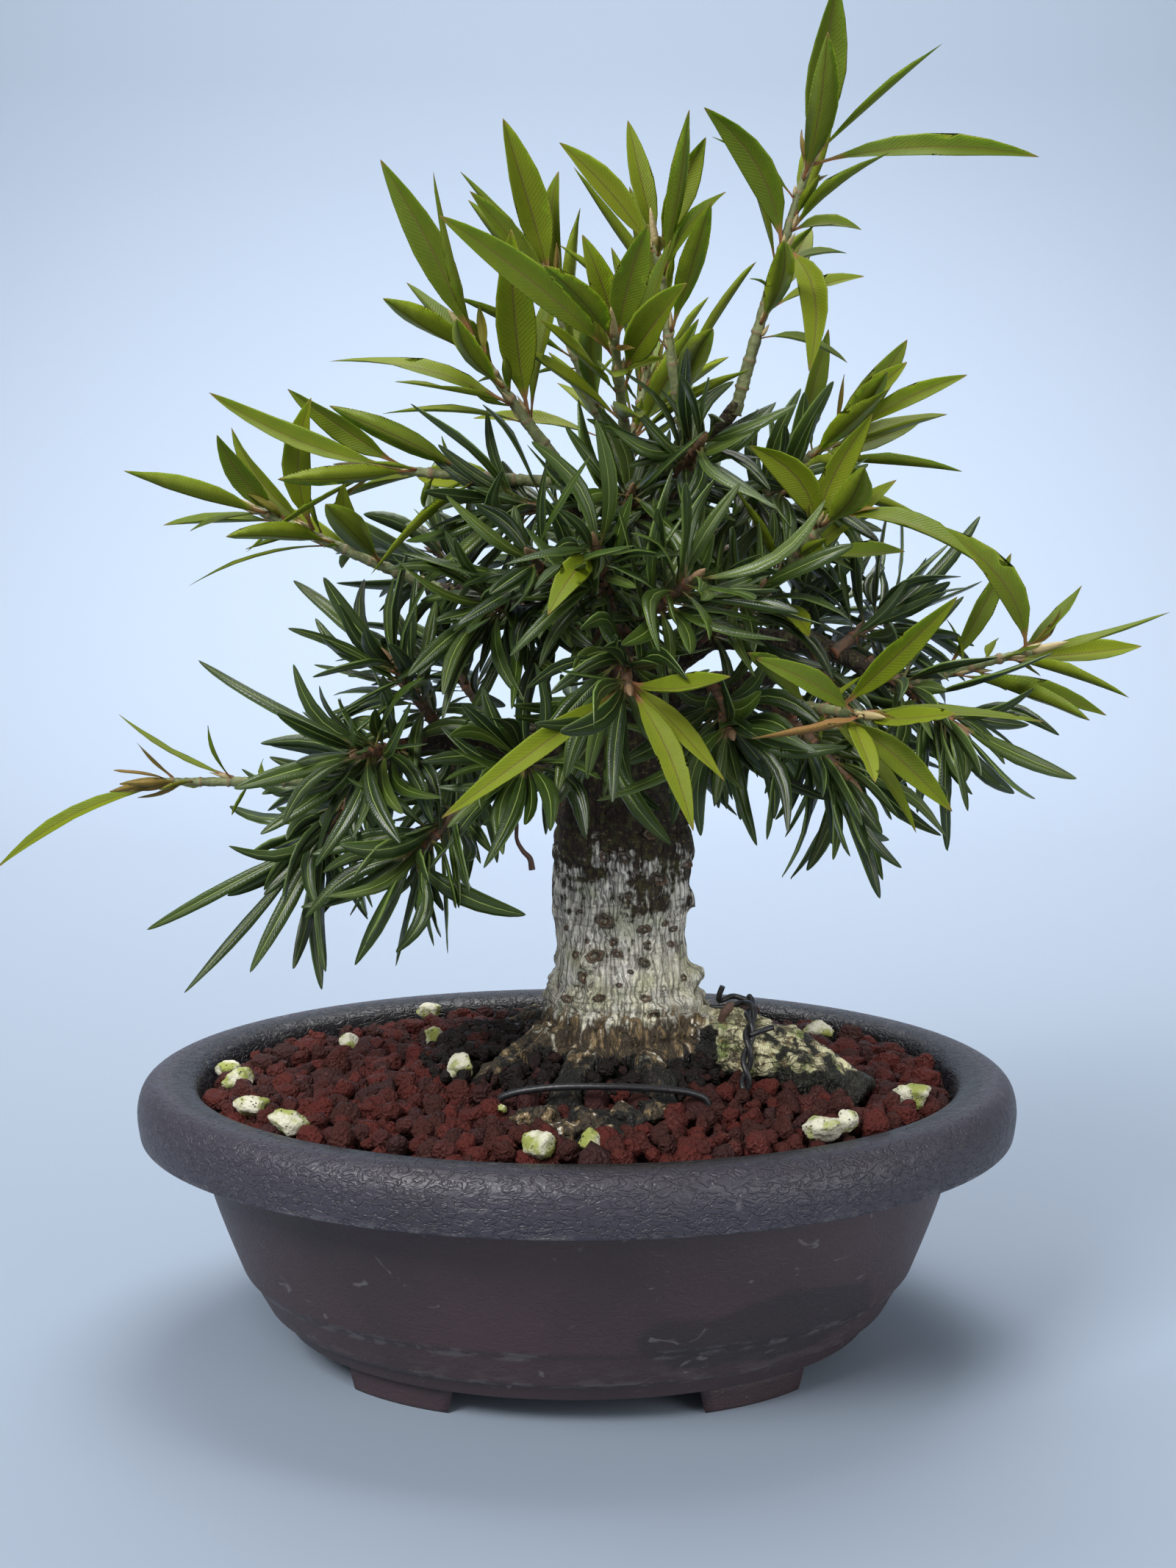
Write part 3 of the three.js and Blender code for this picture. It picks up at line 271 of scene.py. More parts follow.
class Graph:
    """The nodes of one material."""

    def __init__(self, name: str) -> None:
        """Starts a material with its Principled shader alone.

        Args:
            name: The material's name.
        """
        self.material = bpy.data.materials.new(name)
        self.material.use_nodes = True
        self.tree = self.material.node_tree
        self.shader = self.tree.nodes["Principled BSDF"]

    def node(
        self,
        kind: str,
        settings: dict[str, object],
        *values: Socket | float | tuple | None,
        out: int | str = 0,
        **named: Socket | float | tuple,
    ) -> Socket:
        """Adds any node.

        Args:
            kind: The node's type.
            settings: Its own settings, set before its sockets.
            *values: What its first inputs hold, in order; None leaves one alone.
            out: The output that is wanted.
            **named: What its other inputs hold, by name with _ for a space.

        Returns:
            The wanted output.
        """
        made = self.tree.nodes.new(kind)
        for key, value in settings.items():
            setattr(made, key, value)
        inputs = [*enumerate(values), *((key.replace("_", " "), value) for key, value in named.items())]
        for key, value in inputs:
            if value is not None:
                self.feed(made.inputs[key], value)
        return Socket(self, made.outputs[out])

    def feed(self, target: NodeSocket, value: Socket | float | tuple) -> None:
        """Links a socket to an input, or sets the input's value.

        Args:
            target: The input.
            value: A socket, a number, a vector or a colour.
        """
        if isinstance(value, Socket):
            self.tree.links.new(value.out, target)
        elif isinstance(value, tuple) and len(value) == 3 and target.type == "RGBA":
            target.default_value = (*value, 1.0)
        else:
            target.default_value = value

    def place(self, stretch: Triple = EVEN) -> Socket:
        """Gives the point on the object, in millimetres.

        Args:
            stretch: What each axis is multiplied by.

        Returns:
            The vector's socket.
        """
        where = self.node("ShaderNodeTexCoord", {}, out="Object")
        scale = tuple(1000.0 * s for s in stretch)
        return self.node("ShaderNodeVectorMath", {"operation": "MULTIPLY"}, where, scale)

    def painted(self, name: str) -> tuple[Socket, Socket, Socket]:
        """Reads the three numbers that the mesh carries under a name."""
        return self.split(self.node("ShaderNodeAttribute", {"attribute_name": name}, out="Vector"))

    def split(self, vector: Socket) -> tuple[Socket, Socket, Socket]:
        """Splits a vector into its three parts."""
        parts = self.node("ShaderNodeSeparateXYZ", {}, vector).out.node.outputs
        return tuple(Socket(self, part) for part in parts)

    def grain(self, scale: float, detail: float = 3.0, stretch: Triple = EVEN, bend: float = 0.0) -> Socket:
        """Adds noise of about 0 to 1, of so many cells to a millimetre and so many finer grains."""
        where = self.place(stretch)
        return self.node("ShaderNodeTexNoise", {}, Vector=where, Scale=scale, Detail=detail, Distortion=bend)

    def thread(self, noise: Socket, width: float) -> Socket:
        """Draws thin lines of 1 on 0 where noise passes within a width of its middle."""
        return 1.0 - abs(noise - 0.5).rise(0.0, width)

    def cells(self, scale: float) -> Socket:
        """Measures how far the nearest cell's middle is, with so many cells to a millimetre."""
        return self.node("ShaderNodeTexVoronoi", {}, Vector=self.place(), Scale=scale, out="Distance")

    def blend(self, share: Socket | float, first: Socket | tuple, second: Socket | tuple) -> Socket:
        """Mixes two colours.

        Args:
            share: The second one's share.
            first: The colour at 0.
            second: The colour at 1.

        Returns:
            The mixed colour.
        """
        # A Mix node's inputs 1 to 5 belong to its numbers and vectors, as do its outputs 0 and 1.
        unused = [None] * 5
        return self.node("ShaderNodeMix", {"data_type": "RGBA"}, share, *unused, first, second, out=2)

    def bump(self, height: Socket, depth: float) -> Socket:
        """Turns a height into a normal, where a height of 1 measures the depth in millimetres."""
        return self.node("ShaderNodeBump", {}, Strength=1.0, Distance=depth * MM, Height=height, out="Normal")

    def finish(self, **inputs: Socket | float | tuple) -> Material:
        """Sets the shader's inputs.

        Args:
            **inputs: What each holds, by name with _ for a space.

        Returns:
            The material.
        """
        for name, value in inputs.items():
            self.feed(self.shader.inputs[name.replace("_", " ")], value)
        return self.material


@dataclass(frozen=True)
class LeafFinish:
    """A waxy leaf with its midrib and a thin pale margin."""

    name: str
    dark: Colour
    light: Colour
    rib: Colour
    margin: Colour
    underside: Colour
    stalk: Colour
    yellowed: Colour
    rib_share: float
    margin_share: float
    tip_share: float
    roughness: float
    coat: float
    sheen: float
    bud_bronze: Colour = (0.20, 0.095, 0.035)

    def make(self) -> Material:
        """Builds the material.

        Returns:
            The material, which reads where on its leaf each point lies.
        """
        graph = Graph(self.name)
        across, along, under = graph.painted("blade")
        tone, age, bronze = graph.painted("tone")
        side = abs(across)
        mottled = graph.grain(0.3, 4.0) * 0.6 + tone * 0.8 - 0.2
        colour = graph.blend(mottled.rise(0.1, 0.95), self.dark, self.light)
        colour = graph.blend(age.rise(0.55, 1.0) * 0.6, colour, self.yellowed)
        veins = abs(graph.node("ShaderNodeMath", {"operation": "SINE"}, along * 120.0 - side * 12.0))
        colour = graph.blend(veins.rise(0.94, 1.0) * 0.1, colour, self.margin)
        edge = side.rise(0.87, 0.96) * along.rise(0.14, 0.3) * (1.0 - along.rise(0.85, 1.0) * 0.6)
        colour = graph.blend(edge * self.margin_share, colour, self.margin)
        rib = 1.0 - side.rise(0.02, 0.085)
        colour = graph.blend(rib * self.rib_share, colour, self.rib)
        colour = graph.blend(under * 0.7, colour, self.underside)
        colour = graph.blend(under * rib * self.rib_share, colour, self.rib)
        colour = graph.blend(bronze * 0.85, colour, self.bud_bronze)
        colour = graph.blend(along.rise(0.93, 1.0) * self.tip_share, colour, self.stalk)
        colour = graph.blend(1.0 - along.rise(0.09, 0.17), colour, self.stalk)
        height = veins * -0.3 + graph.grain(2.4, 2.0) * 0.6 - rib * 0.5
        return graph.finish(
            Base_Color=colour,
            Roughness=graph.grain(0.5, 3.0) * 0.24 + (self.roughness - 0.12),
            Normal=graph.bump(height, 0.09),
            Coat_Weight=self.coat,
            Coat_Roughness=0.22,
            Specular_IOR_Level=self.sheen,
            Subsurface_Weight=0.1,
            Subsurface_Scale=0.0006,
            Subsurface_Radius=(0.5, 1.0, 0.2),
        )


@dataclass(frozen=True)
class StemFinish:
    """A twig's skin, ringed with the scars of fallen leaves."""

    name: str
    skin: Colour
    shade: Colour
    scar: Colour
    tip: Colour

    def make(self) -> Material:
        """Builds the material.

        Returns:
            The material, which reads the stem's rings and its bud off the mesh.
        """
        graph = Graph(self.name)
        ring, _, bud = graph.painted("blade")
        colour = graph.blend(graph.grain(0.7, 4.0).rise(0.35, 0.7), self.skin, self.shade)
        colour = graph.blend(ring.rise(0.3, 0.9) * 0.85, colour, self.scar)
        colour = graph.blend(bud.rise(0.0, 0.5), colour, self.tip)
        height = graph.grain(2.2, 3.0) + ring * 0.3
        return graph.finish(Base_Color=colour, Roughness=0.62, Normal=graph.bump(height, 0.15))


@dataclass(frozen=True)
class BarkFinish:
    """Ficus bark: pale and finely fissured below, brown above, sooty and mossy where it meets the soil."""

    name: str = "bark"
    pale: Colour = (0.90, 0.87, 0.76)
    grey: Colour = (0.56, 0.51, 0.43)
    groove: Colour = (0.060, 0.044, 0.026)
    brown: Colour = (0.038, 0.024, 0.014)
    olive: Colour = (0.075, 0.070, 0.022)
    tan: Colour = (0.26, 0.18, 0.085)
    # The soot's black, which also paints shade in the right root's gap and on the roots' sides and undersides.
    soot: Colour = (0.006, 0.006, 0.005)
    green: Colour = (0.22, 0.27, 0.085)
    cream: Colour = (0.72, 0.68, 0.42)
    scar: Colour = (0.19, 0.095, 0.052)
    # How many furrows go round the trunk.
    furrows: float = 58.0

    def make(self) -> Material:
        """Builds the material.

        Returns:
            The material, which reads the bark's age, its soot with painted shade, its scars and its place off
            the mesh.
        """
        graph = Graph(self.name)
        top, soot, scar = graph.painted("bark")
        foot, root, rim = graph.painted("foot")
        skin = graph.grain(0.42, 3.0, (1.0, 1.0, 0.3), 0.6)
        fine = graph.grain(1.25, 3.0, (1.0, 1.0, 0.2), 0.7)
        patches = graph.grain(0.12, 3.0)
        waves = self.waves(graph, skin)
        broken = graph.grain(0.3, 3.0, (1.0, 1.0, 0.5)).rise(0.34, 0.48)
        cracks = waves.rise(0.66, 0.97) * broken
        hairs = graph.thread(fine, 0.035)
        colour = graph.blend(graph.grain(0.33, 4.0, (1.0, 1.0, 0.4)).rise(0.28, 0.48), self.grey, self.pale)
        colour = graph.blend(graph.grain(0.15, 4.0).rise(0.5, 0.66) * 0.5, colour, self.green)
        lower = (1.0 - top.rise(0.0, 0.4)) * graph.grain(0.2, 4.0).rise(0.42, 0.6)
        colour = graph.blend(lower * 0.6, colour, self.cream)
        colour = graph.blend(hairs * 0.5, colour, self.grey)
        level = graph.thread(graph.grain(0.16, 3.0, (0.25, 0.25, 2.2), 0.4), 0.03)
        colour = graph.blend(cracks * 0.72, colour, self.groove)
        colour = graph.blend(level * broken * 0.4, colour, self.groove)
        mottled = graph.blend(graph.grain(0.75, 5.0).rise(0.48, 0.62), self.brown, self.olive)
        mottled = graph.blend(graph.grain(1.1, 4.0, (1.0, 1.0, 1.8)).rise(0.6, 0.68) * 0.8, mottled, self.tan)
        blotched = graph.grain(0.28, 4.0, (1.0, 1.0, 1.5)) - 0.5
        aged = (top + (patches - 0.5) * 1.3 + (fine - 0.5) * 0.9 + blotched * 1.5).rise(0.38, 0.64)
        colour = graph.blend(aged, colour, mottled)
        flakes = graph.grain(0.5, 4.0, (1.2, 1.2, 0.3), 0.6)
        peeled = graph.blend(flakes.rise(0.5, 0.62), self.groove, self.tan)
        peeled = graph.blend(flakes.rise(0.62, 0.7), peeled, self.pale)
        colour = graph.blend((foot + (flakes - 0.5) * 1.8).rise(0.35, 0.65), colour, peeled)
        lime = graph.blend(graph.grain(0.26, 4.0).rise(0.5, 0.66), self.cream, self.green)
        lime = graph.blend(graph.grain(0.6, 4.0).rise(0.52, 0.64) * 0.85, lime, self.tan)
        veins = graph.thread(graph.grain(0.45, 3.0, (0.4, 1.0, 1.0), 0.8), 0.06)
        lime = graph.blend(veins * 0.9, lime, self.groove)
        colour = graph.blend(root, colour, lime)
        knot = graph.blend(graph.grain(0.9, 4.0).rise(0.44, 0.56), self.scar, self.brown)
        colour = graph.blend(scar * 0.95, colour, knot)
        colour = graph.blend(rim * 0.85, colour, self.groove)
        # Besides soot, this blackens the painted shade in the right root's gap and on the roots' sides and
        # undersides.
        black = (soot + (graph.grain(0.42, 6.0) - 0.5) * 1.7).rise(0.42, 0.6)
        colour = graph.blend(black * 0.97, colour, self.soot)
        height = (1.0 - waves) * 0.5 - cracks * 0.4 - hairs * 0.2 + graph.grain(2.4, 4.0) * 0.35
        height = height + black * graph.grain(2.2, 4.0) * 1.3
        height = height + aged * graph.grain(1.2, 4.0, (1.0, 1.0, 1.6)) * 1.2
        rough = 0.84 - black * 0.3
        return graph.finish(Base_Color=colour, Roughness=rough, Normal=graph.bump(height, 0.6))

    def waves(self, graph: Graph, skin: Socket) -> Socket:
        """Draws upright waves round the trunk, wound by noise.

        Args:
            graph: The material's nodes.
            skin: The noise.

        Returns:
            Waves of -1 to 1.
        """
        x, y, _ = graph.split(graph.place())
        turn = graph.node("ShaderNodeMath", {"operation": "ARCTAN2"}, x - TRUNK_MIDDLE, y)
        return graph.node("ShaderNodeMath", {"operation": "SINE"}, turn * self.furrows + skin * 26.0)


@dataclass(frozen=True)
class GritFinish:
    """Porous lava, a little damp, each stone of its own red-brown."""

    name: str = "lava_grit"
    red: Colour = (0.086, 0.014, 0.010)
    brown: Colour = (0.042, 0.012, 0.009)
    plum: Colour = (0.036, 0.013, 0.013)
    dust: Colour = (0.17, 0.075, 0.062)
    soot: Colour = (0.008, 0.007, 0.006)

    def make(self) -> Material:
        """Builds the material.

        Returns:
            The material, which reads each stone's own tones and its soot off the mesh.
        """
        graph = Graph(self.name)
        tone, soot, other = graph.painted("tone")
        colour = graph.blend(tone.rise(0.1, 0.9), self.brown, self.red)
        colour = graph.blend(other.rise(0.8, 0.9) * 0.8, colour, self.plum)
        pores = graph.cells(1.5)
        fine = graph.grain(2.4, 5.0)
        colour = graph.blend((1.0 - pores.rise(0.08, 0.38)) * 0.6, colour, self.brown)
        colour = graph.blend(fine.rise(0.6, 0.78) * 0.3, colour, self.dust)
        dusty = graph.grain(0.15, 2.0).rise(0.58, 0.7) * fine.rise(0.5, 0.62)
        colour = graph.blend(dusty * 0.5, colour, self.dust)
        colour = graph.blend((soot + (fine - 0.5) * 0.8).rise(0.35, 0.7) * 0.95, colour, self.soot)
        height = pores * 1.1 + fine * 1.2
        rough = 0.74 - graph.grain(0.8, 3.0).rise(0.48, 0.7) * 0.36
        bumped = graph.bump(height, 0.55)
        return graph.finish(Base_Color=colour, Roughness=rough, Normal=bumped, Specular_IOR_Level=0.24)


@dataclass(frozen=True)
class PumiceFinish:
    """White pumice, greened by algae."""

    name: str = "pumice"
    cream: Colour = (0.60, 0.58, 0.46)
    green: Colour = (0.27, 0.30, 0.07)
    pit: Colour = (0.05, 0.045, 0.03)

    def make(self) -> Material:
        """Builds the material.

        Returns:
            The material.
        """
        graph = Graph(self.name)
        colour = graph.blend(graph.grain(0.32, 3.0).rise(0.42, 0.62), self.cream, self.green)
        pits = 1.0 - graph.cells(1.0).rise(0.08, 0.2)
        colour = graph.blend(pits * 0.8, colour, self.pit)
        height = graph.grain(1.9, 5.0) - pits
        return graph.finish(Base_Color=colour, Roughness=0.88, Normal=graph.bump(height, 0.4))


@dataclass(frozen=True)
class PlasticFinish:
    """Moulded pot plastic with a leathery grain, scuffed white in places."""

    name: str = "pot_plastic"
    lip: Colour = (0.033, 0.029, 0.041)
    body: Colour = (0.050, 0.029, 0.033)
    # Also the colour of the painted shade in the grain's creases.
    damp: Colour = (0.020, 0.016, 0.018)
    # The inner wall's near black: painted shade over damp plastic.
    inside: Colour = (0.006, 0.005, 0.007)
    scuff: Colour = (0.22, 0.21, 0.21)

    def make(self) -> Material:
        """Builds the material.

        Returns:
            The material, which reads lip, wear, and damp with the inner wall's painted shade off the mesh.
        """
        graph = Graph(self.name)
        lip, wear, damp = graph.painted("part")
        colour = graph.blend(lip, self.body, self.lip)
        cloud = graph.grain(0.05, 4.0)
        colour = graph.blend(cloud.rise(0.4, 0.7) * 0.35, colour, self.damp)
        colour = graph.blend((damp + (cloud - 0.5) * 1.2).rise(0.4, 0.55) * 0.7, colour, self.damp)
        # Damp above 1 marks the inner wall, which is painted almost black as painted shade.
        colour = graph.blend(damp.rise(1.0, 1.4), colour, self.inside)
        specks = graph.grain(0.75, 5.0).rise(0.71, 0.78) * graph.grain(0.06, 2.0).rise(0.45, 0.62)
        worn = wear.rise(0.2, 0.8) * graph.grain(0.4, 5.0, (0.6, 0.6, 1.6)).rise(0.46, 0.6)
        scratches = graph.grain(0.22, 6.0, (0.7, 0.7, 1.3), 1.5).rise(0.66, 0.72) * 0.35
        colour = graph.blend(specks * 0.5 + worn * 0.28 + scratches * (1.0 - lip * 0.5), colour, self.scuff)
        folds = graph.grain(0.62, 2.0, (0.75, 0.9, 1.35), 0.7)
        creases = graph.thread(folds, 0.07)
        # Painted shade darkens the creases of the grain, most on the lip.
        colour = graph.blend(creases * (lip * 0.15 + 0.08), colour, self.damp)
        pebbles = graph.grain(1.7, 2.0)
        height = (folds * 2.0 - creases * 0.8) * (lip * 0.8 + 0.2) + pebbles * 0.55
        rough = 0.42 + graph.grain(0.9, 4.0) * 0.14 - lip * 0.06
        return graph.finish(Base_Color=colour, Roughness=rough, Normal=graph.bump(height, 0.17))


@dataclass(frozen=True)
class PlainFinish:
    """A coated or moulded surface of one colour with a little grain."""

    name: str
    colour: Colour
    roughness: float
    scale: float = 1.5
    depth: float = 0.05

    def make(self) -> Material:
        """Builds the material.

        Returns:
            The material.
        """
        graph = Graph(self.name)
        noise = graph.grain(self.scale, 4.0)
        worn = tuple(min(1.0, 1.6 * c + 0.01) for c in self.colour)
        colour = graph.blend(noise.rise(0.5, 0.8), self.colour, worn)
        rough = noise * 0.2 + (self.roughness - 0.1)
        return graph.finish(Base_Color=colour, Roughness=rough, Normal=graph.bump(noise, self.depth))


@dataclass
class Draft:
    """A mesh being gathered: its points, its faces by how many corners they have, and its painted numbers."""

    points: list[Array] = field(default_factory=list)
    faces: list[Array] = field(default_factory=list)
    looks: list[Array] = field(default_factory=list)
    painted: dict[str, list[Array]] = field(default_factory=dict)
    count: int = 0

    def add(self, points: Array, faces: Sequence[Array], look: int = 0, **painted: Array) -> None:
        """Adds one closed shell or more.

        Args:
            points: Places in millimetres.
            faces: Arrays of corner numbers, one array for each number of corners.
            look: Which of the object's materials the faces take.
            **painted: Three numbers to a point, by attribute name.
        """
        self.points.append(points)
        for group in faces:
            self.faces.append(group + self.count)
            self.looks.append(np.full(len(group), look))
        for name, rows in painted.items():
            self.painted.setdefault(name, []).append(rows)
        self.count += len(points)

    def object(self, name: str, *materials: Material) -> Object:
        """Makes the object.

        Args:
            name: Its name.
            *materials: Its materials, in the order of the looks.

        Returns:
            The object, smooth shaded and riding on the part's one body.
        """
        mesh = bpy.data.meshes.new(name)
        mesh.vertices.add(self.count)
        mesh.vertices.foreach_set("co", (np.concatenate(self.points) * MM).astype(np.float32).ravel())
        corners = np.concatenate([group.ravel() for group in self.faces])
        sizes = np.concatenate([np.full(len(group), group.shape[1]) for group in self.faces])
        mesh.loops.add(len(corners))
        mesh.loops.foreach_set("vertex_index", corners.astype(np.int32))
        mesh.polygons.add(len(sizes))
        mesh.polygons.foreach_set("loop_start", (np.cumsum(sizes) - sizes).astype(np.int32))
        mesh.polygons.foreach_set("material_index", np.concatenate(self.looks).astype(np.int32))
        mesh.polygons.foreach_set("use_smooth", np.ones(len(sizes), bool))
        mesh.update(calc_edges=True)
        for key, rows in self.painted.items():
            layer = mesh.attributes.new(key, "FLOAT_VECTOR", "POINT")
            layer.data.foreach_set("vector", np.concatenate(rows).astype(np.float32).ravel())
        made = bpy.data.objects.new(name, mesh)
        bpy.context.scene.collection.objects.link(made)
        for material in materials:
            mesh.materials.append(material)
        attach(made, "root")
        LOG.info("%s: %d faces", name, len(sizes))
        return made


def ring_quads(rings: int, sides: int) -> Array:
    """Lists the quads of a skin over closed rings.

    Args:
        rings: How many rings there are.
        sides: How many points each holds.

    Returns:
        Four corner numbers to a row, facing out where rings run anticlockwise seen from the last.
    """
    k, j = np.meshgrid(np.arange(rings - 1), np.arange(sides), indexing="ij")
    here, there = k * sides, (k + 1) * sides
    after = (j + 1) % sides
    return np.stack([here + j, here + after, there + after, there + j], -1).reshape(-1, 4)


def fan(ring_start: int, sides: int, middle: int, outward: bool) -> Array:
    """Closes a ring to one point.

    Args:
        ring_start: Its first point's number.
        sides: How many points it holds.
        middle: The closing point's number.
        outward: True at a skin's last ring, False at its first.

    Returns:
        Three corner numbers to a row.
    """
    j = np.arange(sides)
    first, second = ring_start + j, ring_start + (j + 1) % sides
    third = np.full(sides, middle)
    return np.stack([first, second, third] if outward else [second, first, third], -1)


def closed_skin(rings: int, sides: int) -> list[Array]:
    """Lists the faces over closed rings and over their two ends, whose middles come after the rings' points.

    Args:
        rings: How many rings there are.
        sides: How many points each holds.

    Returns:
        The quads and each end's triangles.
    """
    last = rings * sides
    return [ring_quads(rings, sides), fan(0, sides, last, False), fan(last - sides, sides, last + 1, True)]


def around(count: int) -> Array:
    """Spaces points evenly round a circle.

    Args:
        count: How many there are.

    Returns:
        Their angles.
    """
    return 2 * np.pi * np.arange(count) / count


def tube(
    draft: Draft, spine: Array, radii: Array | float, sides: int, look: int = 0, **painted: Array
) -> None:
    """Adds a round tube with both ends closed.

    Args:
        draft: The mesh it goes into.
        spine: Its centre line, a point to a ring.
        radii: Its radius at each, or one for all.
        sides: How many sides it has.
        look: Which material it takes.
        **painted: Three numbers to a ring, by attribute name.
    """
    along = unit(np.gradient(spine, axis=0))
    guide = np.array([0.31, 0.22, 0.93])
    first = unit(np.cross(along, guide))
    second = np.cross(along, first)
    turn = around(sides)
    ring = first[:, None] * np.cos(turn)[None, :, None] + second[:, None] * np.sin(turn)[None, :, None]
    radii = np.broadcast_to(radii, len(spine))
    points = (spine[:, None] + ring * radii[:, None, None]).reshape(-1, 3)
    points = np.concatenate([points, spine[:1], spine[-1:]])
    rows = {key: np.concatenate([np.repeat(v, sides, 0), v[:1], v[-1:]]) for key, v in painted.items()}
    draft.add(points, closed_skin(len(spine), sides), look, **rows)


def through(points: Sequence[Sequence[float]], steps: int) -> Array:
    """Draws a smooth line through points.

    Args:
        points: Where it passes.
        steps: How many pieces each stretch is cut into.

    Returns:
        The line's points.
    """
    rows = np.array(points, float)
    rows = np.vstack([2 * rows[0] - rows[1], rows, 2 * rows[-1] - rows[-2]])
    out = []
    for a, b, c, d in zip(rows, rows[1:], rows[2:], rows[3:]):
        for t in np.arange(steps) / steps:
            square = (2 * a - 5 * b + 4 * c - d) * t**2
            cube = (3 * b - a - 3 * c + d) * t**3
            out.append(0.5 * (2 * b + (c - a) * t + square + cube))
    return np.array([*out, rows[-2]])


def stone_shape(level: int) -> tuple[Array, Array]:
    """Makes a ball of triangles.

    Args:
        level: How finely it is divided.

    Returns:
        Its points at distance 1, and its faces.
    """
    golden = (1 + 5**0.5) / 2
    points = [(-1, golden, 0), (1, golden, 0), (-1, -golden, 0), (1, -golden, 0)]
    points = [*points, *[(z, x, y) for x, y, z in points], *[(y, z, x) for x, y, z in points]]
    spots = unit(np.array(points, float))
    near = np.linalg.norm(spots[:, None] - spots[None], axis=-1) < 1.1
    faces = [face for face in combinations(range(12), 3) if near[np.ix_(face, face)].all()]
    # Seen from outside, a face's corners run anticlockwise.
    turned = [face if np.linalg.det(spots[list(face)]) > 0 else face[::-1] for face in faces]
    for _ in range(level):
        middles: dict[tuple[int, int], int] = {}
        rows = list(spots)

        def middle(a: int, b: int) -> int:
            """Gives the number of the point between two others.

            Args:
                a: One point's number.
                b: The other's.

            Returns:
                The number of the point, which is made where it doesn't exist yet.
            """
            key = (min(a, b), max(a, b))
            if key not in middles:
                middles[key] = len(rows)
                rows.append(unit(rows[a] + rows[b]))
            return middles[key]

        finer = []
        for a, b, c in turned:
            ab, bc, ca = middle(a, b), middle(b, c), middle(c, a)
            finer += [(a, ab, ca), (ab, b, bc), (ca, bc, c), (ab, bc, ca)]
        spots, turned = np.array(rows), finer
    return spots, np.array(turned)


def stones(
    places: Array, halves: Array, tones: Array, level: int, seed: int, rough: float, pits: float = 0.05
) -> tuple[Array, Array, Array]:
    """Makes many angular stones at once.

    Args:
        places: Their middles.
        halves: Their half-sizes.
        tones: Three painted numbers to a stone.
        level: How finely each is divided.
        seed: Sets one lot apart from another.
        rough: How far their surface swells and sinks, as a share of their size.
        pits: The same for the fine pits on it.

    Returns:
        Points, faces and painted numbers.
    """
    ball, faces = stone_shape(level)
    count = len(places)
    draw = np.random.default_rng(seed)
    planes = unit(draw.normal(size=(count, 9, 3)))
    depth = draw.uniform(0.62, 0.95, (count, 9))
    reach = np.min(depth[:, None] / np.maximum(np.einsum("vk,npk->nvp", ball, planes), 0.05), axis=2)
    reach = np.minimum(reach, 1.08)
    spots = (ball[None] * 1.7 + draw.uniform(0, 90, (count, 1, 3))).reshape(-1, 3)
    reach = reach * (1 + rough * fractal(spots, 2, seed).reshape(count, -1))
    reach = reach * (1 + pits * smooth_noise(spots * 4.2, seed + 3).reshape(count, -1))
    # A quaternion turns each stone its own way.
    turns = unit(draw.normal(size=(count, 4)))
    real, axis = turns[:, None, :1], turns[:, None, 1:]
    local = ball[None] * reach[..., None]
    local = local + 2 * np.cross(axis, np.cross(axis, local) + real * local)
    points = local * halves[:, None] + places[:, None]
    index = faces[None] + (np.arange(count) * len(ball))[:, None, None]
    return points.reshape(-1, 3), index.reshape(-1, 3), np.repeat(tones, len(ball), 0)


@dataclass(frozen=True)
class PotShape:
    """The pot's sizes, and the oval that every level of it follows."""

    half_length: float = 77.5
    half_width: float = 60.0
    body_half_length: float = 67.1
    front_taper: float = 0.76
    # How far in from the pot's edge the middle of its lip lies, and the height of the lip's lower edge.
    lip_middle: float = 5.1
    lip_edge: float = 40.2
    # The heights of the ledge, of the floor's outer edge and of the floor's upper face.
    ledge: float = 14.6
    floor_edge: float = 8.4
    floor_top: float = 7.4
    # The half-length and half-width of the oval that the feet's outer faces follow.
    foot_oval: Pair = (50.5, 36.6)
    foot_near: float = 20.0
    foot_far: float = 39.0
    foot_depth: float = 10.0
    foot_height: float = 5.0
    # The drainage holes: how far each lies from the middle, its radius, and where and how deep it is bored.
    drain_place: float = 27.0
    drain_radius: float = 7.0
    bore_middle: float = 6.2
    bore_depth: float = 8.0
    # The soil's height at the wall, and how much higher it stands round the tree.
    soil_height: float = 45.8
    soil_crown: float = 7.6

    def across(self, r: Array) -> Array:
        """Measures the half-width of the level whose half-length is r.

        Args:
            r: Half-lengths.

        Returns:
            Half-widths.
        """
        longer = self.half_length - self.half_width
        inner = self.body_half_length - longer - (self.body_half_length - r) * self.front_taper
        return np.where(r >= self.body_half_length, r - longer, np.maximum(0.0, inner))

    def ground(self, x: Array, y: Array) -> Array:
        """Measures the soil's height through the middle of the top grit, at places along and across."""
        crown = self.soil_crown * np.exp(-(((x - 4) / 36) ** 2) - ((y - 3) / 29) ** 2)
        return self.soil_height + crown + 1.7 * np.maximum(0, -y / 40)


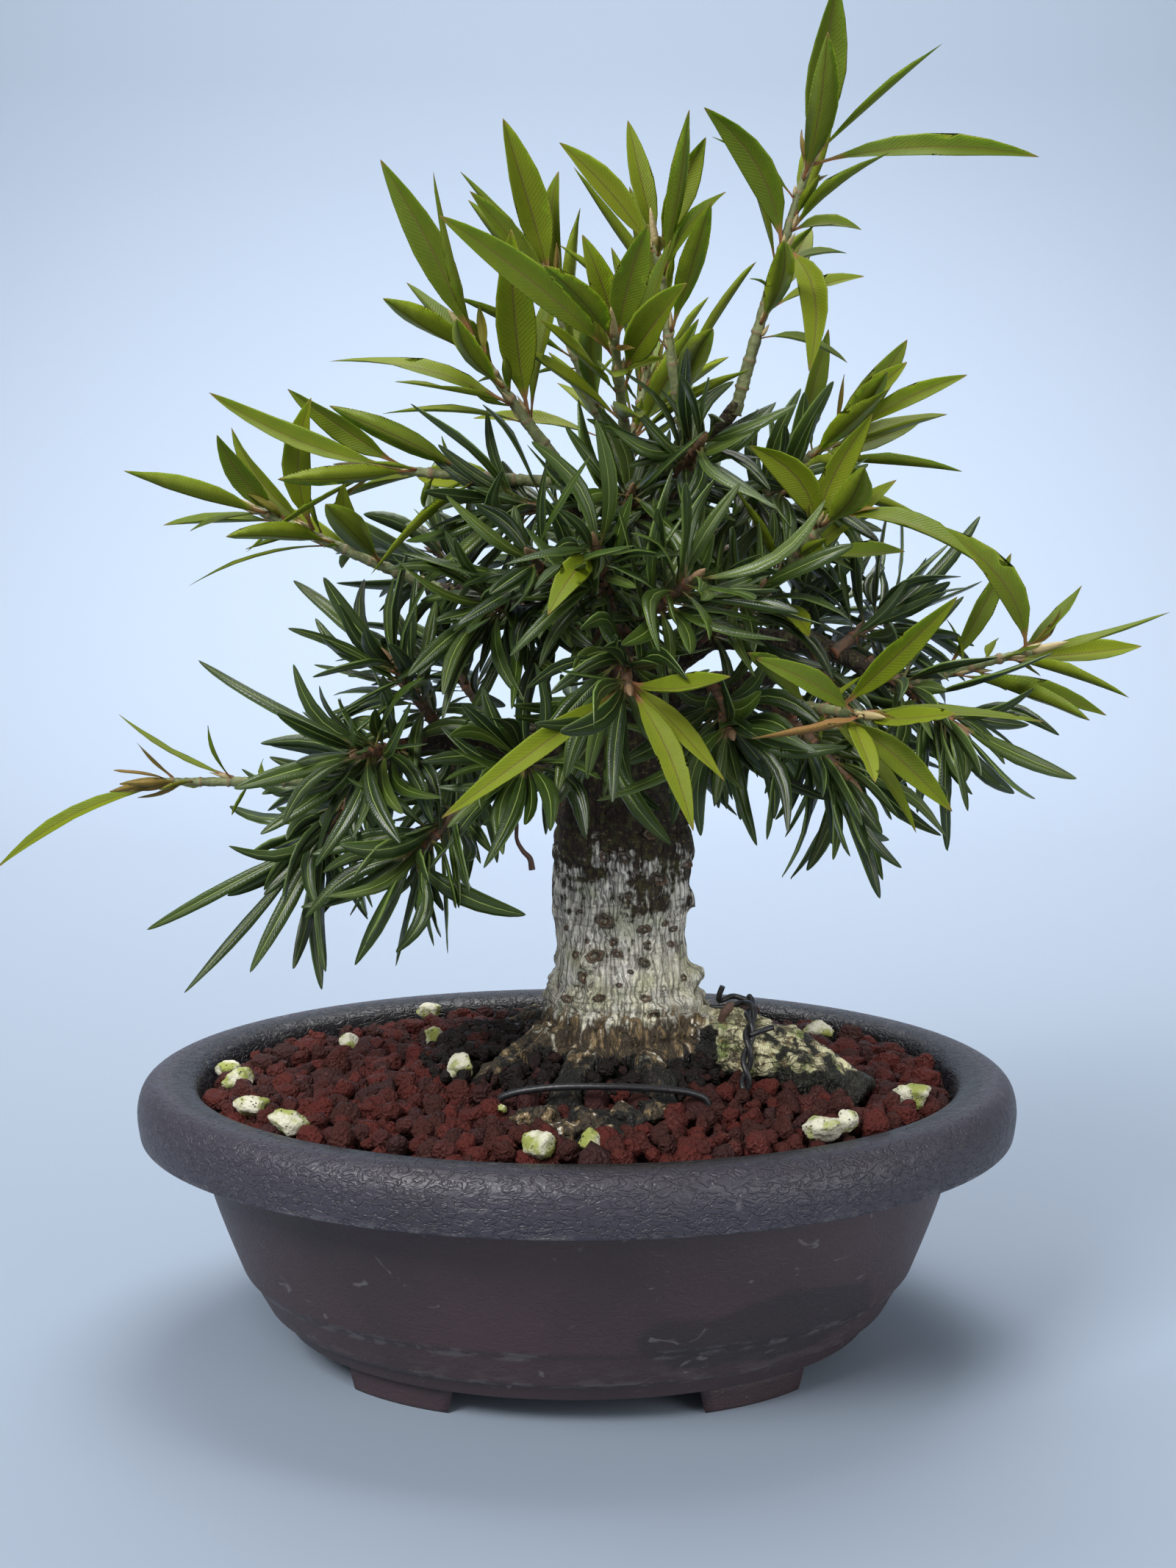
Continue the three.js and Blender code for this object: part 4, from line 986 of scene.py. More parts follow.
@dataclass
class Pot:
    """The moulded pot: lip, body, ledge, drainage holes and feet."""

    shape: PotShape
    # Half-length, height and how far the corner there is rounded off.
    corners: tuple[Triple, ...] = (
        (52.0, 5.0, 0.5), (53.6, 8.0, 0.7), (55.4, 8.6, 0.6), (58.4, 14.2, 1.0), (59.7, 15.4, 0.8),
        (62.6, 23.0, 5.0), (65.3, 31.0, 5.0), (67.0, 40.2, 2.0), (67.4, 46.8, 0.8), (74.7, 47.0, 0.8),
        (75.4, 40.2, 0.3), (76.9, 40.2, 0.5), (77.5, 44.7, 2.4), (76.6, 48.3, 1.6), (74.1, 50.0, 1.8),
        (69.4, 49.8, 1.6), (67.1, 48.6, 1.2), (65.3, 42.2, 3.0), (63.2, 31.0, 5.0), (57.0, 16.0, 5.0),
        (50.9, 7.4, 1.5),
    )
    turns: int = 152

    def profile(self) -> Array:
        """Rounds the corners of the profile.

        Returns:
            Half-lengths and heights from the floor's underside to its top.
        """
        below, above = (0.0, self.shape.foot_height, 0.0), (0.0, self.shape.floor_top, 0.0)
        rows = np.array([below, *self.corners, above])
        out = [rows[0, :2]]
        for before, here, after in zip(rows, rows[1:], rows[2:]):
            point, cut = here[:2], here[2]
            back, ahead = before[:2] - point, after[:2] - point
            start = point + back * min(0.45, cut / np.linalg.norm(back))
            end = point + ahead * min(0.45, cut / np.linalg.norm(ahead))
            for t in (0.0, 0.25, 0.5, 0.75, 1.0):
                out.append((1 - t) ** 2 * start + 2 * t * (1 - t) * point + t**2 * end)
        return np.array([*out, rows[-1, :2]])

    def build(self) -> Draft:
        """Turns the profile into the oval pot and sets its feet.

        Returns:
            The mesh.
        """
        draft = Draft()
        profile = self.profile()
        inner = profile[1:-1]
        turn = around(self.turns)
        r, z = inner[:, 0], inner[:, 1]
        x = r[:, None] * np.cos(turn)
        y = self.shape.across(r)[:, None] * np.sin(turn)
        points = np.stack([x, y, np.repeat(z[:, None], self.turns, 1)], -1).reshape(-1, 3)
        sag = 0.18 * fractal(points / 38.0, 2, 3.0)
        points[:, :2] *= (1 + sag * 0.004)[:, None]
        points = np.vstack([points, [0, 0, self.shape.foot_height], [0, 0, self.shape.floor_top]])
        draft.add(points, closed_skin(len(inner), self.turns))
        for side in (-1, 1):
            for front in (-1, 1):
                self.foot(draft, side, front)
        return draft

    def paint(self, points: Array) -> Array:
        """Marks where the plastic is lip, worn or damp, and where its inner wall takes painted shade.

        Args:
            points: The mesh's points.

        Returns:
            Three numbers to a point.
        """
        s = self.shape
        x, y, z = points.T
        lip = eased(z, s.lip_edge - 0.6, s.lip_edge + 0.2)
        ledge = np.exp(-(((z - s.ledge) / 1.1) ** 2)) * (z < 20)
        rim = np.exp(-(((z - s.lip_edge - 0.2) / 0.7) ** 2)) * 0.7
        low = np.exp(-(((z - s.floor_edge) / 0.9) ** 2)) * 0.9
        damp = np.exp(-(((x - 32) / 22) ** 2) - ((z - 17) / 7) ** 2) * (y < 0)
        # The lip's inner half and the wall below it stay unworn and are painted almost black: painted shade,
        # with some damp.
        oval = (x / (s.half_length - s.lip_middle)) ** 2 + (y / (s.half_width - s.lip_middle)) ** 2
        inside = (1 - eased(oval, 0.95, 1.05)) * eased(z, 38, 41)
        return np.stack([lip, np.clip(ledge + rim + low - inside, 0, 1), np.maximum(damp, 1.4 * inside)], -1)

    def foot(self, draft: Draft, side: int, front: int) -> None:
        """Adds one foot with rounded edges.

        Args:
            draft: The mesh it goes into.
            side: -1 or 1, along the pot.
            front: -1 or 1, across it.
        """
        s = self.shape
        xs = np.linspace(s.foot_near, s.foot_far, 9)
        reach = s.foot_oval[1] * np.sqrt(1 - (xs / s.foot_oval[0]) ** 2)
        outline = np.vstack([np.stack([xs, reach], -1), np.stack([xs[::-1], reach[::-1] - s.foot_depth], -1)])
        middle = (outline.min(0) + outline.max(0)) / 2
        # The height of each level, and its share of the outline's size.
        levels = [(0.0, 0.85), (0.35, 0.872), (0.9, 0.884), (3.0, 0.935), (s.foot_height + 1.2, 1.0)]
        rings = []
        for z, share in levels:
            ring = middle + (outline - middle) * share
            rings.append(np.column_stack([ring * (side, front), np.full(len(ring), z)]))
        spot = middle * (side, front)
        points = np.vstack([*rings, [*spot, 0.0], [*spot, s.foot_height + 1.2]])
        faces = closed_skin(len(levels), len(outline))
        if side * front < 0:
            faces = [group[:, ::-1] for group in faces]
        draft.add(points, faces)

    def dress(self) -> None:
        """Makes the pot and bores its drainage holes."""
        pot = self.build().object("pot_moulding", PlasticFinish().make())
        s = self.shape
        for side in (-1, 1):
            bpy.ops.mesh.primitive_cylinder_add(
                vertices=48,
                radius=s.drain_radius * MM,
                depth=s.bore_depth * MM,
                location=(side * s.drain_place * MM, 0, s.bore_middle * MM),
            )
            bore = bpy.context.object
            cut = pot.modifiers.new("drain", "BOOLEAN")
            cut.operation, cut.solver, cut.object = "DIFFERENCE", "EXACT", bore
            with bpy.context.temp_override(object=pot, active_object=pot):
                bpy.ops.object.modifier_apply(modifier="drain")
            bpy.data.objects.remove(bore)
        # The bores clear what is painted on a mesh, so this comes after them.
        places = np.zeros(3 * len(pot.data.vertices))
        pot.data.vertices.foreach_get("co", places)
        layer = pot.data.attributes.new("part", "FLOAT_VECTOR", "POINT")
        layer.data.foreach_set("vector", self.paint(places.reshape(-1, 3) / MM).astype(np.float32).ravel())
        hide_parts("pot")


@dataclass
class DrainMeshes:
    """The plastic mesh squares over the two drainage holes."""

    shape: PotShape
    half: float = 10.0
    # The heights of the bars that run along the pot and of those that cross them, and the bars' width.
    levels: Pair = (8.15, 8.37)
    bar: float = 0.7
    pitch: float = 2.4

    def dress(self) -> None:
        """Makes both squares of crossing bars."""
        material = PlainFinish("drain_mesh", (0.012, 0.012, 0.013), 0.6).make()
        for name, side in (("left", -1), ("right", 1)):
            draft = Draft()
            count = int(self.half / self.pitch)
            for k in range(-count, count + 1):
                for turned in (False, True):
                    ends = np.array([[-self.half, k * self.pitch, 0.0], [self.half, k * self.pitch, 0.0]])
                    if turned:
                        ends = ends[:, [1, 0, 2]]
                    ends += (side * self.shape.drain_place, 0, self.levels[turned])
                    tube(draft, ends, self.bar / 2, 8)
            made = draft.object(f"drain_mesh_{name}_fine", material)
            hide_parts(f"drain_mesh_{name}")


@dataclass
class Bark:
    """Trunk, roots and branches, smoothed from the faceted wood and furrowed."""

    node: Object
    voxel: float = 0.52
    # Up to the first distance from the trunk's middle all wood is trunk, and from the second on none is.
    trunk_reach: Pair = (15.5, 19.0)
    # The heights between which the trunk's bark begins, and those between which it ends.
    trunk_begins: Pair = (44.0, 52.0)
    trunk_ends: Pair = (112.0, 122.0)
    # The places along the pot between which the right root begins.
    right_begins: Pair = (22.0, 25.0)
    # The height and the depth of each level crease round the trunk.
    creases: tuple[Pair, ...] = (
        (62.2, 0.7), (57.0, 0.5), (87.0, 0.25), (66.0, 0.3), (93.5, 0.4), (99.0, 0.4),
    )
    # Pixels of the pruning scars and leaf scars on the trunk's front, and each one's radius in millimetres.
    scars: tuple[Triple, ...] = (
        (809, 1301, 1.25), (840, 1297, 0.8), (877, 1310, 0.85), (881, 1286, 0.8), (876, 1264, 0.95),
        (822, 1253, 1.35), (783, 1299, 0.65), (771, 1262, 0.5), (896, 1196, 1.35), (850, 1166, 1.1),
        (822, 1166, 0.8), (884, 1134, 1.1), (933, 1176, 1.0), (794, 1330, 0.9), (816, 1358, 0.8),
        (772, 1359, 0.9), (878, 1359, 0.85), (889, 1381, 1.2), (912, 1284, 0.7), (916, 1264, 0.6),
        (905, 1256, 0.55), (835, 1281, 0.75), (856, 1218, 0.65), (858, 1322, 0.45), (799, 1280, 0.45),
        (842, 1340, 0.45), (930, 1330, 0.6), (790, 1240, 0.45),
    )
    # How much larger each scar is made than it is listed.
    swell: float = 1.02

    def smoothed(self) -> tuple[Array, Array, Array]:
        """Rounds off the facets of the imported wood.

        Returns:
            Points in millimetres, their normals and the faces.
        """
        mesh = self.node.data.copy()
        rough = bpy.data.objects.new("rough_bark", mesh)
        bpy.context.scene.collection.objects.link(rough)
        weld = rough.modifiers.new("weld", "WELD")
        weld.merge_threshold = 1e-6
        remesh = rough.modifiers.new("remesh", "REMESH")
        remesh.mode = "VOXEL"
        remesh.voxel_size = self.voxel * MM
        even = rough.modifiers.new("even", "SMOOTH")
        even.factor, even.iterations = 0.5, 12
        graph = bpy.context.evaluated_depsgraph_get()
        fine = bpy.data.meshes.new_from_object(rough.evaluated_get(graph))
        bpy.data.objects.remove(rough)
        count = len(fine.vertices)
        points, normals = np.zeros(count * 3), np.zeros(count * 3)
        fine.vertices.foreach_get("co", points)
        fine.vertices.foreach_get("normal", normals)
        faces = np.array([tuple(p.vertices) for p in fine.polygons])
        bpy.data.meshes.remove(fine)
        return points.reshape(-1, 3) / MM, normals.reshape(-1, 3), faces

    def build(self) -> Draft:
        """Furrows the bark, raises its scars and works out its colours.

        Returns:
            The mesh, painted with age, soot with painted shade, scars, foot and root.
        """
        points, normals, faces = self.smoothed()
        x, y, z = points.T
        away = np.hypot(x - TRUNK_MIDDLE, y * 1.1)
        on_trunk = 1 - eased(away, *self.trunk_reach)
        body = on_trunk * eased(z, *self.trunk_begins) * (1 - eased(z, *self.trunk_ends))
        root = (1 - on_trunk) * eased(-z, -72, -64)
        knotted = eased(smooth_noise(points * 0.2, 31.0), 0.62, 0.8) * body * eased(y, -6, 4)
        lift = self.relief(points, body, root) + 0.7 * knotted
        scar = knotted * 0.7
        branch = 1 - np.maximum(body, eased(-z, -66, -58))
        darker = np.clip((z - 65) / 30, 0, 1) * 0.8 + 0.3 * eased(z, 88, 95)
        top = np.maximum(darker, branch * eased(z, 90, 100))
        # The right root is sooty only towards its end and where it meets the soil.
        right = eased(x, *self.right_begins) * (z < 70)
        soot = self.soot(points, normals, body, root) * (1 - right)
        soot += right * (0.08 + 0.42 * eased(x, 30, 35) + 0.6 * eased(-z, -54.5, -50))
        # Painted shade blackens the gap that parts it from the trunk, added to the soot.
        gapped = np.exp(-(((x - 22.4) / 1.3) ** 2)) * eased(-z, -61, -57) * (y < 6)
        soot = np.clip(soot + gapped + body * eased(-x, 2, 8) * eased(-z, -62, -54) * 0.4, 0, 1)
        foot = np.maximum(eased(-z, -67, -56) * on_trunk, root) * (1 - right)
        draft = Draft()
        draft.add(
            points + normals * lift[:, None],
            [faces],
            bark=np.stack([top, soot, scar], -1),
            foot=np.stack([foot, right, np.zeros(len(z))], -1),
        )
        return draft

    def relief(self, points: Array, body: Array, root: Array) -> Array:
        """Works out how far the bark stands out.

        Args:
            points: The smoothed wood's points.
            body: How far each belongs to the trunk.
            root: How far each belongs to the surface roots.

        Returns:
            Heights in millimetres.
        """
        x, y, z = points.T
        turn = np.arctan2(y, x - TRUNK_MIDDLE)
        wrapped = np.stack([np.cos(turn) * 13, np.sin(turn) * 13, z * 0.15], -1)
        winding = fractal(points * 0.13, 2, 9.0)[:, None] * 0.9
        ridged = 1 - np.abs(fractal(wrapped * 0.5 + winding, 2, 1.0))
        furrow = -0.4 * eased(ridged, 0.78, 1.0)
        lift = body * (furrow + 0.14 * fractal(points * 0.5, 3, 2.0))
        lift += body * 0.75 * fractal(points * 0.085, 2, 21.0)
        for level, deep in self.creases:
            wander = level + 1.1 * smooth_noise(points * 0.12, level)
            lift -= body * deep * np.exp(-(((z - wander) / 0.5) ** 2))
            lift += body * 0.6 * deep * np.exp(-(((z - wander - 1.4) / 0.9) ** 2))
        lift += (1 - body) * (0.25 * fractal(points * 0.45, 3, 4.0) + 0.1 * smooth_noise(points * 1.3, 6.0))
        lift += root * (1.0 * fractal(points * 0.16, 2, 15.0) + 0.7 * fractal(points * 0.4, 3, 5.0) + 0.2)
        flakes = smooth_noise(points * (0.75, 0.75, 0.25), 13.0)
        lift += body * eased(z, 50, 53) * (1 - eased(z, 60, 66)) * 0.5 * eased(flakes, 0.0, 0.25)
        return lift

    def soot(self, points: Array, normals: Array, body: Array, root: Array) -> Array:
        """Works out how sooty the foot of the trunk and the roots are, left of the right root, with painted
        shade on the roots' sides and undersides.

        Args:
            points: The smoothed wood's points.
            normals: Their normals.
            body: How far each belongs to the trunk.
            root: How far each belongs to the surface roots.

        Returns:
            Numbers from 0 up.
        """
        _, y, z = points.T
        # On the roots, painted shade makes the sides and undersides darker than the tops that face the sky.
        soot = body * eased(-z, -58.5, -52.5) * 0.9 + root * (0.66 - 0.3 * np.maximum(0, normals[:, 2]))
        return soot + root * 0.3 * eased(-y, 14, 20)

    def dress(self, bark: Material) -> None:
        """Makes the wood.

        Args:
            bark: Its material.
        """
        draft = self.build()
        self.mark(draft)
        made = draft.object("bark_trunk_roots_branches", bark)
        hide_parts("trunk_roots_branches")

    def mark(self, draft: Draft) -> None:
        """Sets the scars on the trunk's front.

        Args:
            draft: The wood, which they are added to.
        """
        points, faces = draft.points[0], draft.faces[0]
        search = BVHTree.FromPolygons(points.tolist(), faces.tolist())
        eye = Vector(VIEW.place)
        sides = 18
        # Distance from the middle and height, both in radii.
        rows = np.array(
            [(0.22, 0.1), (0.45, 0.14), (0.62, 0.4), (0.8, 0.5), (0.98, 0.3), (1.1, -0.05), (1.22, -0.7)]
        )
        off, high = rows.T
        # The scar's own colour lies inside its rim, and dark rings lie on the rim's two sides.
        healed = np.interp(off, (0.4, 0.6, 0.9, 0.99), (0.6, 1, 1, 0))
        ringed = (off > 0.9) | (np.abs(off - 0.5) < 0.1)
        inside = np.append(np.repeat(healed, sides), 0.5)
        outside = np.append(np.repeat(ringed, sides), False) * 1.0
        shells = [ring_quads(len(rows), sides)[:, ::-1], fan(0, sides, len(rows) * sides, True)]
        none = np.zeros(len(inside))
        turn = around(sides)
        for column, row, size in self.scars:
            radius = self.swell * size
            way = (Vector(VIEW.at_depth((column, row), 0.0)) - eye).normalized()
            place, normal, _, _ = search.ray_cast(eye, way)
            if place is None:
                continue
            up = unit(np.array(normal) + (0, -0.8, 0))
            side = unit(np.cross((0.0, 0.0, 1.0), up))
            rise = np.cross(up, side)
            wobble = 1 + 0.16 * np.sin(2 * turn + row) + 0.1 * np.sin(5 * turn + column)
            flat = (np.cos(turn) * 1.1)[:, None] * side + (np.sin(turn) * 0.9)[:, None] * rise
            spots = np.array(place) + radius * (off[:, None, None] * (flat * wobble[:, None])[None])
            spots = spots + radius * (high[:, None] * (0.8 + 0.5 * wobble)[None])[..., None] * up
            spots = np.vstack([spots.reshape(-1, 3), np.array(place) + up * radius * 0.1])
            aged = np.full(len(spots), eased(place.z, 84, 92))
            bark = np.stack([aged * (1 - inside), none, inside], -1)
            draft.add(spots, shells, bark=bark, foot=np.stack([none, none, outside], -1))


@dataclass
class Soil:
    """The lava grit: a bed that fills the pot, and loose stones heaped on it."""

    shape: PotShape
    wood: BVHTree
    pitch: float = 3.6
    seed: int = 5
    # The soil's half-length at the pot's wall.
    half_length: float = 66.2
    # How far the wood may stand above a place that still takes a stone, and where the look down for it
    # starts and how far it goes.
    buried: float = 1.2
    look_from: float = 88.0
    look_down: float = 50.0
    # The underside of the filling, and how far its upper face lies below the ground.
    bed_low: float = 7.8
    bed_sunk: float = 2.4

    def bed(self) -> Draft:
        """Fills the pot below the loose stones.

        Returns:
            The mesh of the filling.
        """
        draft = Draft()
        turns = 96
        turn = around(turns)
        low = self.bed_low
        # The half-length and the height of each ring up the pot's wall.
        rows = [(30.0, low), (50.5, low), (56.4, 16.0), (62.7, 31.0), (64.9, 42.0), (65.4, 44.0)]
        rings = [(r, np.full(turns, z)) for r, z in rows]
        # The rings above follow the wall up, and these follow the ground in to the middle.
        for r in (62.0, 54.0, 44.0, 34.0, 24.0, 14.0, 6.0):
            xs, ys = r * np.cos(turn), self.shape.across(np.array(r)) * np.sin(turn)
            spots = np.stack([xs, ys, np.zeros(turns)], -1)
            rough = 0.7 * fractal(spots * 0.2, 3, 8.0)
            rings.append((r, self.shape.ground(xs, ys) - self.bed_sunk + rough))
        points = []
        for r, z in rings:
            wide = float(self.shape.across(np.array(r)))
            points.append(np.stack([r * np.cos(turn), wide * np.sin(turn), z], -1))
        points = np.vstack([*points, [0, 0, low], [0, 0, 50.0]])
        tone = np.tile((0.3, 0.3, 0.6), (len(points), 1))
        draft.add(points, closed_skin(len(rings), turns), tone=tone)
        return draft

    def spread(self, pitch: float, seed: int, margin: float) -> Array:
        """Scatters places over the soil, clear of the wood.

        Args:
            pitch: The distance between neighbours.
            seed: Sets one lot apart from another.
            margin: How far they keep from the pot's wall.

        Returns:
            Places on the ground.
        """
        draw = np.random.default_rng(seed)
        rows = []
        limit = self.half_length - margin
        wide = float(self.shape.across(np.array(self.half_length))) - margin
        # Rows 0.87 of the pitch apart, every other one moved by half a pitch, keep neighbours equally far.
        for j, y in enumerate(np.arange(-wide, wide, pitch * 0.87)):
            for x in np.arange(-limit + (j % 2) * pitch / 2, limit, pitch):
                spot = np.array([x, y]) + draw.uniform(-0.28, 0.28, 2) * pitch
                if (spot[0] / limit) ** 2 + (spot[1] / wide) ** 2 < 1:
                    rows.append(spot)
        flat = np.array(rows)
        height = self.shape.ground(flat[:, 0], flat[:, 1])
        kept = [i for i in range(len(flat)) if self.wood_over(flat[i], height[i]) < self.buried]
        return np.column_stack([flat, height])[kept]

    def wood_over(self, spot: Array, height: float) -> float:
        """Measures how far the wood stands above the soil.

        Args:
            spot: The place's x and y.
            height: The soil's height there.

        Returns:
            Millimetres, below 0 where no wood is.
        """
        start = Vector((spot[0], spot[1], self.look_from)) * MM
        found = self.wood.ray_cast(start, Vector((0, 0, -1)), self.look_down * MM)[0]
        return found.z / MM - height if found else -9.0

    def gloom(self, places: Array) -> Array:
        """Darkens the soil round the foot of the trunk, most on its left.

        Args:
            places: Places on the ground.

        Returns:
            Numbers from 0 to 1.
        """
        x, y = places[:, 0], places[:, 1]
        near = 1 - eased(np.hypot((x - 4) / 1.3, y), 16.0, 27.0)
        left = np.exp(-(((x + 14) / 11) ** 2) - ((y - 4) / 18) ** 2)
        return np.clip(near + 0.9 * left, 0, 1) * (1 - eased(x, 22, 28))

    def dress(self, pebbles: Array) -> None:
        """Makes the bed and the stones.

        Args:
            pebbles: Where the pumice and the chips lie, which the upper stones keep clear of.
        """
        material = GritFinish().make()
        bed = self.bed().object("soil_bed", material)
        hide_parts("soil_grit")
        self.lot("grit_under", 4.2, -2.0, 1, (1.9, 2.6), None, material)
        self.lot("grit", self.pitch, 0.0, 2, (1.2, 2.5), pebbles, material)
        self.earth(material)

    def earth(self, material: Material) -> None:
        """Heaps dark earth round the foot of the trunk.

        Args:
            material: The grit's material.
        """
        places = self.spread(2.15, self.seed + 20, 12.0)
        draw = np.random.default_rng(77)
        heap = self.gloom(places) * (1 - eased(-places[:, 1], 26, 30))
        places = places[heap > 0.3]
        heap = heap[heap > 0.3]
        count = len(places)
        size = 0.6 + 1.1 * draw.power(0.8, count)
        places[:, 2] += 0.6 + 2.6 * heap + draw.uniform(-0.6, 0.6, count)
        halves = size[:, None] * draw.uniform(0.7, 1.5, (count, 3))
        tone = np.column_stack([draw.random(count), 0.45 + 0.6 * draw.random(count), draw.random(count)])
        points, faces, painted = stones(places, halves, tone, 1, 88, 0.35, 0.1)
        draft = Draft()
        draft.add(points, [faces], tone=painted)
        draft.object("earth", material)

    def lot(
        self,
        name: str,
        pitch: float,
        lift: float,
        level: int,
        sizes: Pair,
        pebbles: Array | None,
        material: Material,
    ) -> None:
        """Makes one layer of stones, as a piece for each half of the pot.

        Args:
            name: The pieces' name.
            pitch: The distance between neighbours.
            lift: How far above the ground the layer lies, in millimetres.
            level: How finely each stone is divided.
            sizes: The least and the most half-size.
            pebbles: Where the pumice and the chips lie, or None where no stone gives way to them.
            material: The stones' material.
        """
        places = self.spread(pitch, self.seed + level, 1.9)
        draw = np.random.default_rng(self.seed * 10 + level)
        count = len(places)
        size = sizes[0] + (sizes[1] - sizes[0]) * draw.power(1.1, count)
        size *= np.where(draw.random(count) > 0.95, 1.3, 1.0)
        halves = size[:, None] * draw.uniform(0.78, 1.2, (count, 3))
        places[:, 2] += lift + draw.uniform(-0.7, 1.0, count) + 0.25 * (size - sizes[0])
        keep = np.ones(count, bool)
        if pebbles is not None:
            apart = np.linalg.norm(places[:, None, :2] - pebbles[None, :, :2], axis=2)
            keep = (apart - pebbles[None, :, 3]).min(1) > 0.7
        tone = np.column_stack([draw.random(count), self.gloom(places), draw.random(count)])
        for ending, side in (("left", places[:, 0] < 0), ("right", places[:, 0] >= 0)):
            chosen = keep & side
            rows = places[chosen], halves[chosen], tone[chosen]
            points, faces, painted = stones(*rows, level, self.seed + level, 0.17, 0.09)
            draft = Draft()
            draft.add(points, [faces], tone=painted)
            draft.object(f"{name}_{ending}", material)


@dataclass
class Pebbles:
    """The pumice pebbles among the grit."""

    nodes: Sequence[str]
    # How much larger a packed pebble is made again, because flat sides take some of it away.
    swell: float = 1.04
    # Place, half-sizes: those too small for a node of their own.
    small: tuple[tuple[Triple, Triple], ...] = (
        ((-63.0, 4.0, 48.0), (2.2, 1.6, 1.6)), ((-26.5, 14.0, 51.4), (1.9, 1.6, 1.8)),
        ((-43.0, 18.0, 49.0), (2.2, 1.6, 1.8)), ((-23.0, 5.0, 52.6), (2.1, 1.8, 1.9)),
        ((-29.5, 42.0, 48.6), (2.6, 1.8, 1.8)), ((2.5, -41.5, 49.9), (2.0, 1.6, 1.7)),
        ((43.8, -33.5, 50.6), (1.7, 1.5, 1.9)), ((46.0, 25.0, 49.6), (3.4, 2.0, 1.8)),
        ((-12.0, -29.0, 51.2), (0.75, 0.75, 0.75)),
    )

    def rows(self) -> Array:
        """Lists every pebble.

        Returns:
            Its place, its mean half-size and its three half-sizes.
        """
        out = []
        for node in self.nodes:
            low, high = (np.array(corner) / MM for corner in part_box(node))
            out.append([*((low + high) / 2), *((high - low) / 2)])
        out += [[*place, *halves] for place, halves in self.small]
        table = np.array(out)
        return np.column_stack([table[:, :3], table[:, 3:].mean(1), table[:, 3:]])

    def dress(self) -> None:
        """Makes each pebble."""
        material = PumiceFinish().make()
        table = self.rows()
        small = [f"pumice_small_{k + 1}" for k in range(len(self.small))]
        for k, (node, row) in enumerate(zip([*self.nodes, *small], table)):
            packed = node in self.nodes
            points, faces, _ = stones(row[None, :3], row[None, 4:], np.zeros((1, 3)), 3, 40 + k, 0.13, 0.06)
            if packed:
                points = (points - row[:3]) * self.swell + row[:3]
            draft = Draft()
            draft.add(points, [faces])
            made = draft.object(node + "_fine" if packed else node, material)
            if packed:
                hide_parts(node)


@dataclass
class Wires:
    """The two tie wires."""

    # Their radii, and how far each strand of the twist lies off its middle and how often it goes round.
    front_radius: float = 0.6
    strand_radius: float = 0.54
    tail_radius: float = 0.5
    strand_off: float = 0.62
    twists: float = 3.2
    front: tuple[Triple, ...] = (
        (-13.4, -25.0, 44.0), (-13.0, -25.4, 50.6), (-11.0, -26.0, 52.7), (-4.0, -27.2, 54.2),
        (5.0, -28.0, 54.6), (14.0, -27.4, 54.0), (19.6, -26.0, 52.7), (21.8, -25.5, 50.6),
        (22.2, -25.2, 44.0),
    )
    twisted: tuple[Triple, ...] = (
        (28.4, -18.5, 42.0), (28.5, -17.6, 49.0), (28.8, -15.6, 53.6), (29.4, -13.0, 58.6),
        (30.0, -8.4, 61.9), (30.0, -2.6, 62.7),
    )
    tails: tuple[tuple[Triple, ...], ...] = (
        ((30.0, -3.2, 62.7), (27.4, -2.2, 63.2), (25.2, -3.0, 62.6), (24.8, -4.4, 63.8), (25.4, -4.6, 65.6)),
        ((30.4, -2.8, 62.4), (28.0, -4.4, 62.4), (25.4, -4.4, 61.8), (23.4, -3.6, 61.6)),
        ((29.6, -12.8, 59.0), (31.6, -12.6, 59.8), (33.6, -11.8, 60.2)),
    )

    def dress(self) -> None:
        """Makes both wires with their twist and cut ends."""
        material = PlainFinish("tie_wire", (0.010, 0.010, 0.012), 0.42, 2.0, 0.06).make()
        draft = Draft()
        line = through(self.front, 10)
        tube(draft, line, self.front_radius, 14)
        made = draft.object("tie_wire_front_fine", material)
        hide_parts("tie_wire_front")
        draft = Draft()
        line = through(self.twisted, 16)
        along = unit(np.gradient(line, axis=0))
        out = unit(np.cross((1.0, 0.0, 0.0), along))
        share = np.linspace(0, 1, len(line))
        for strand in (0, 1):
            angle = 2 * np.pi * self.twists * share + np.pi * strand
            offset = np.cos(angle)[:, None] * np.array((1.0, 0, 0)) + np.sin(angle)[:, None] * out
            tube(draft, line + self.strand_off * offset, self.strand_radius, 12)
        for tail in self.tails:
            tube(draft, through(tail, 8), self.tail_radius, 12)
        made = draft.object("tie_wire_twisted_fine", material)
        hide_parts("tie_wire_twisted")


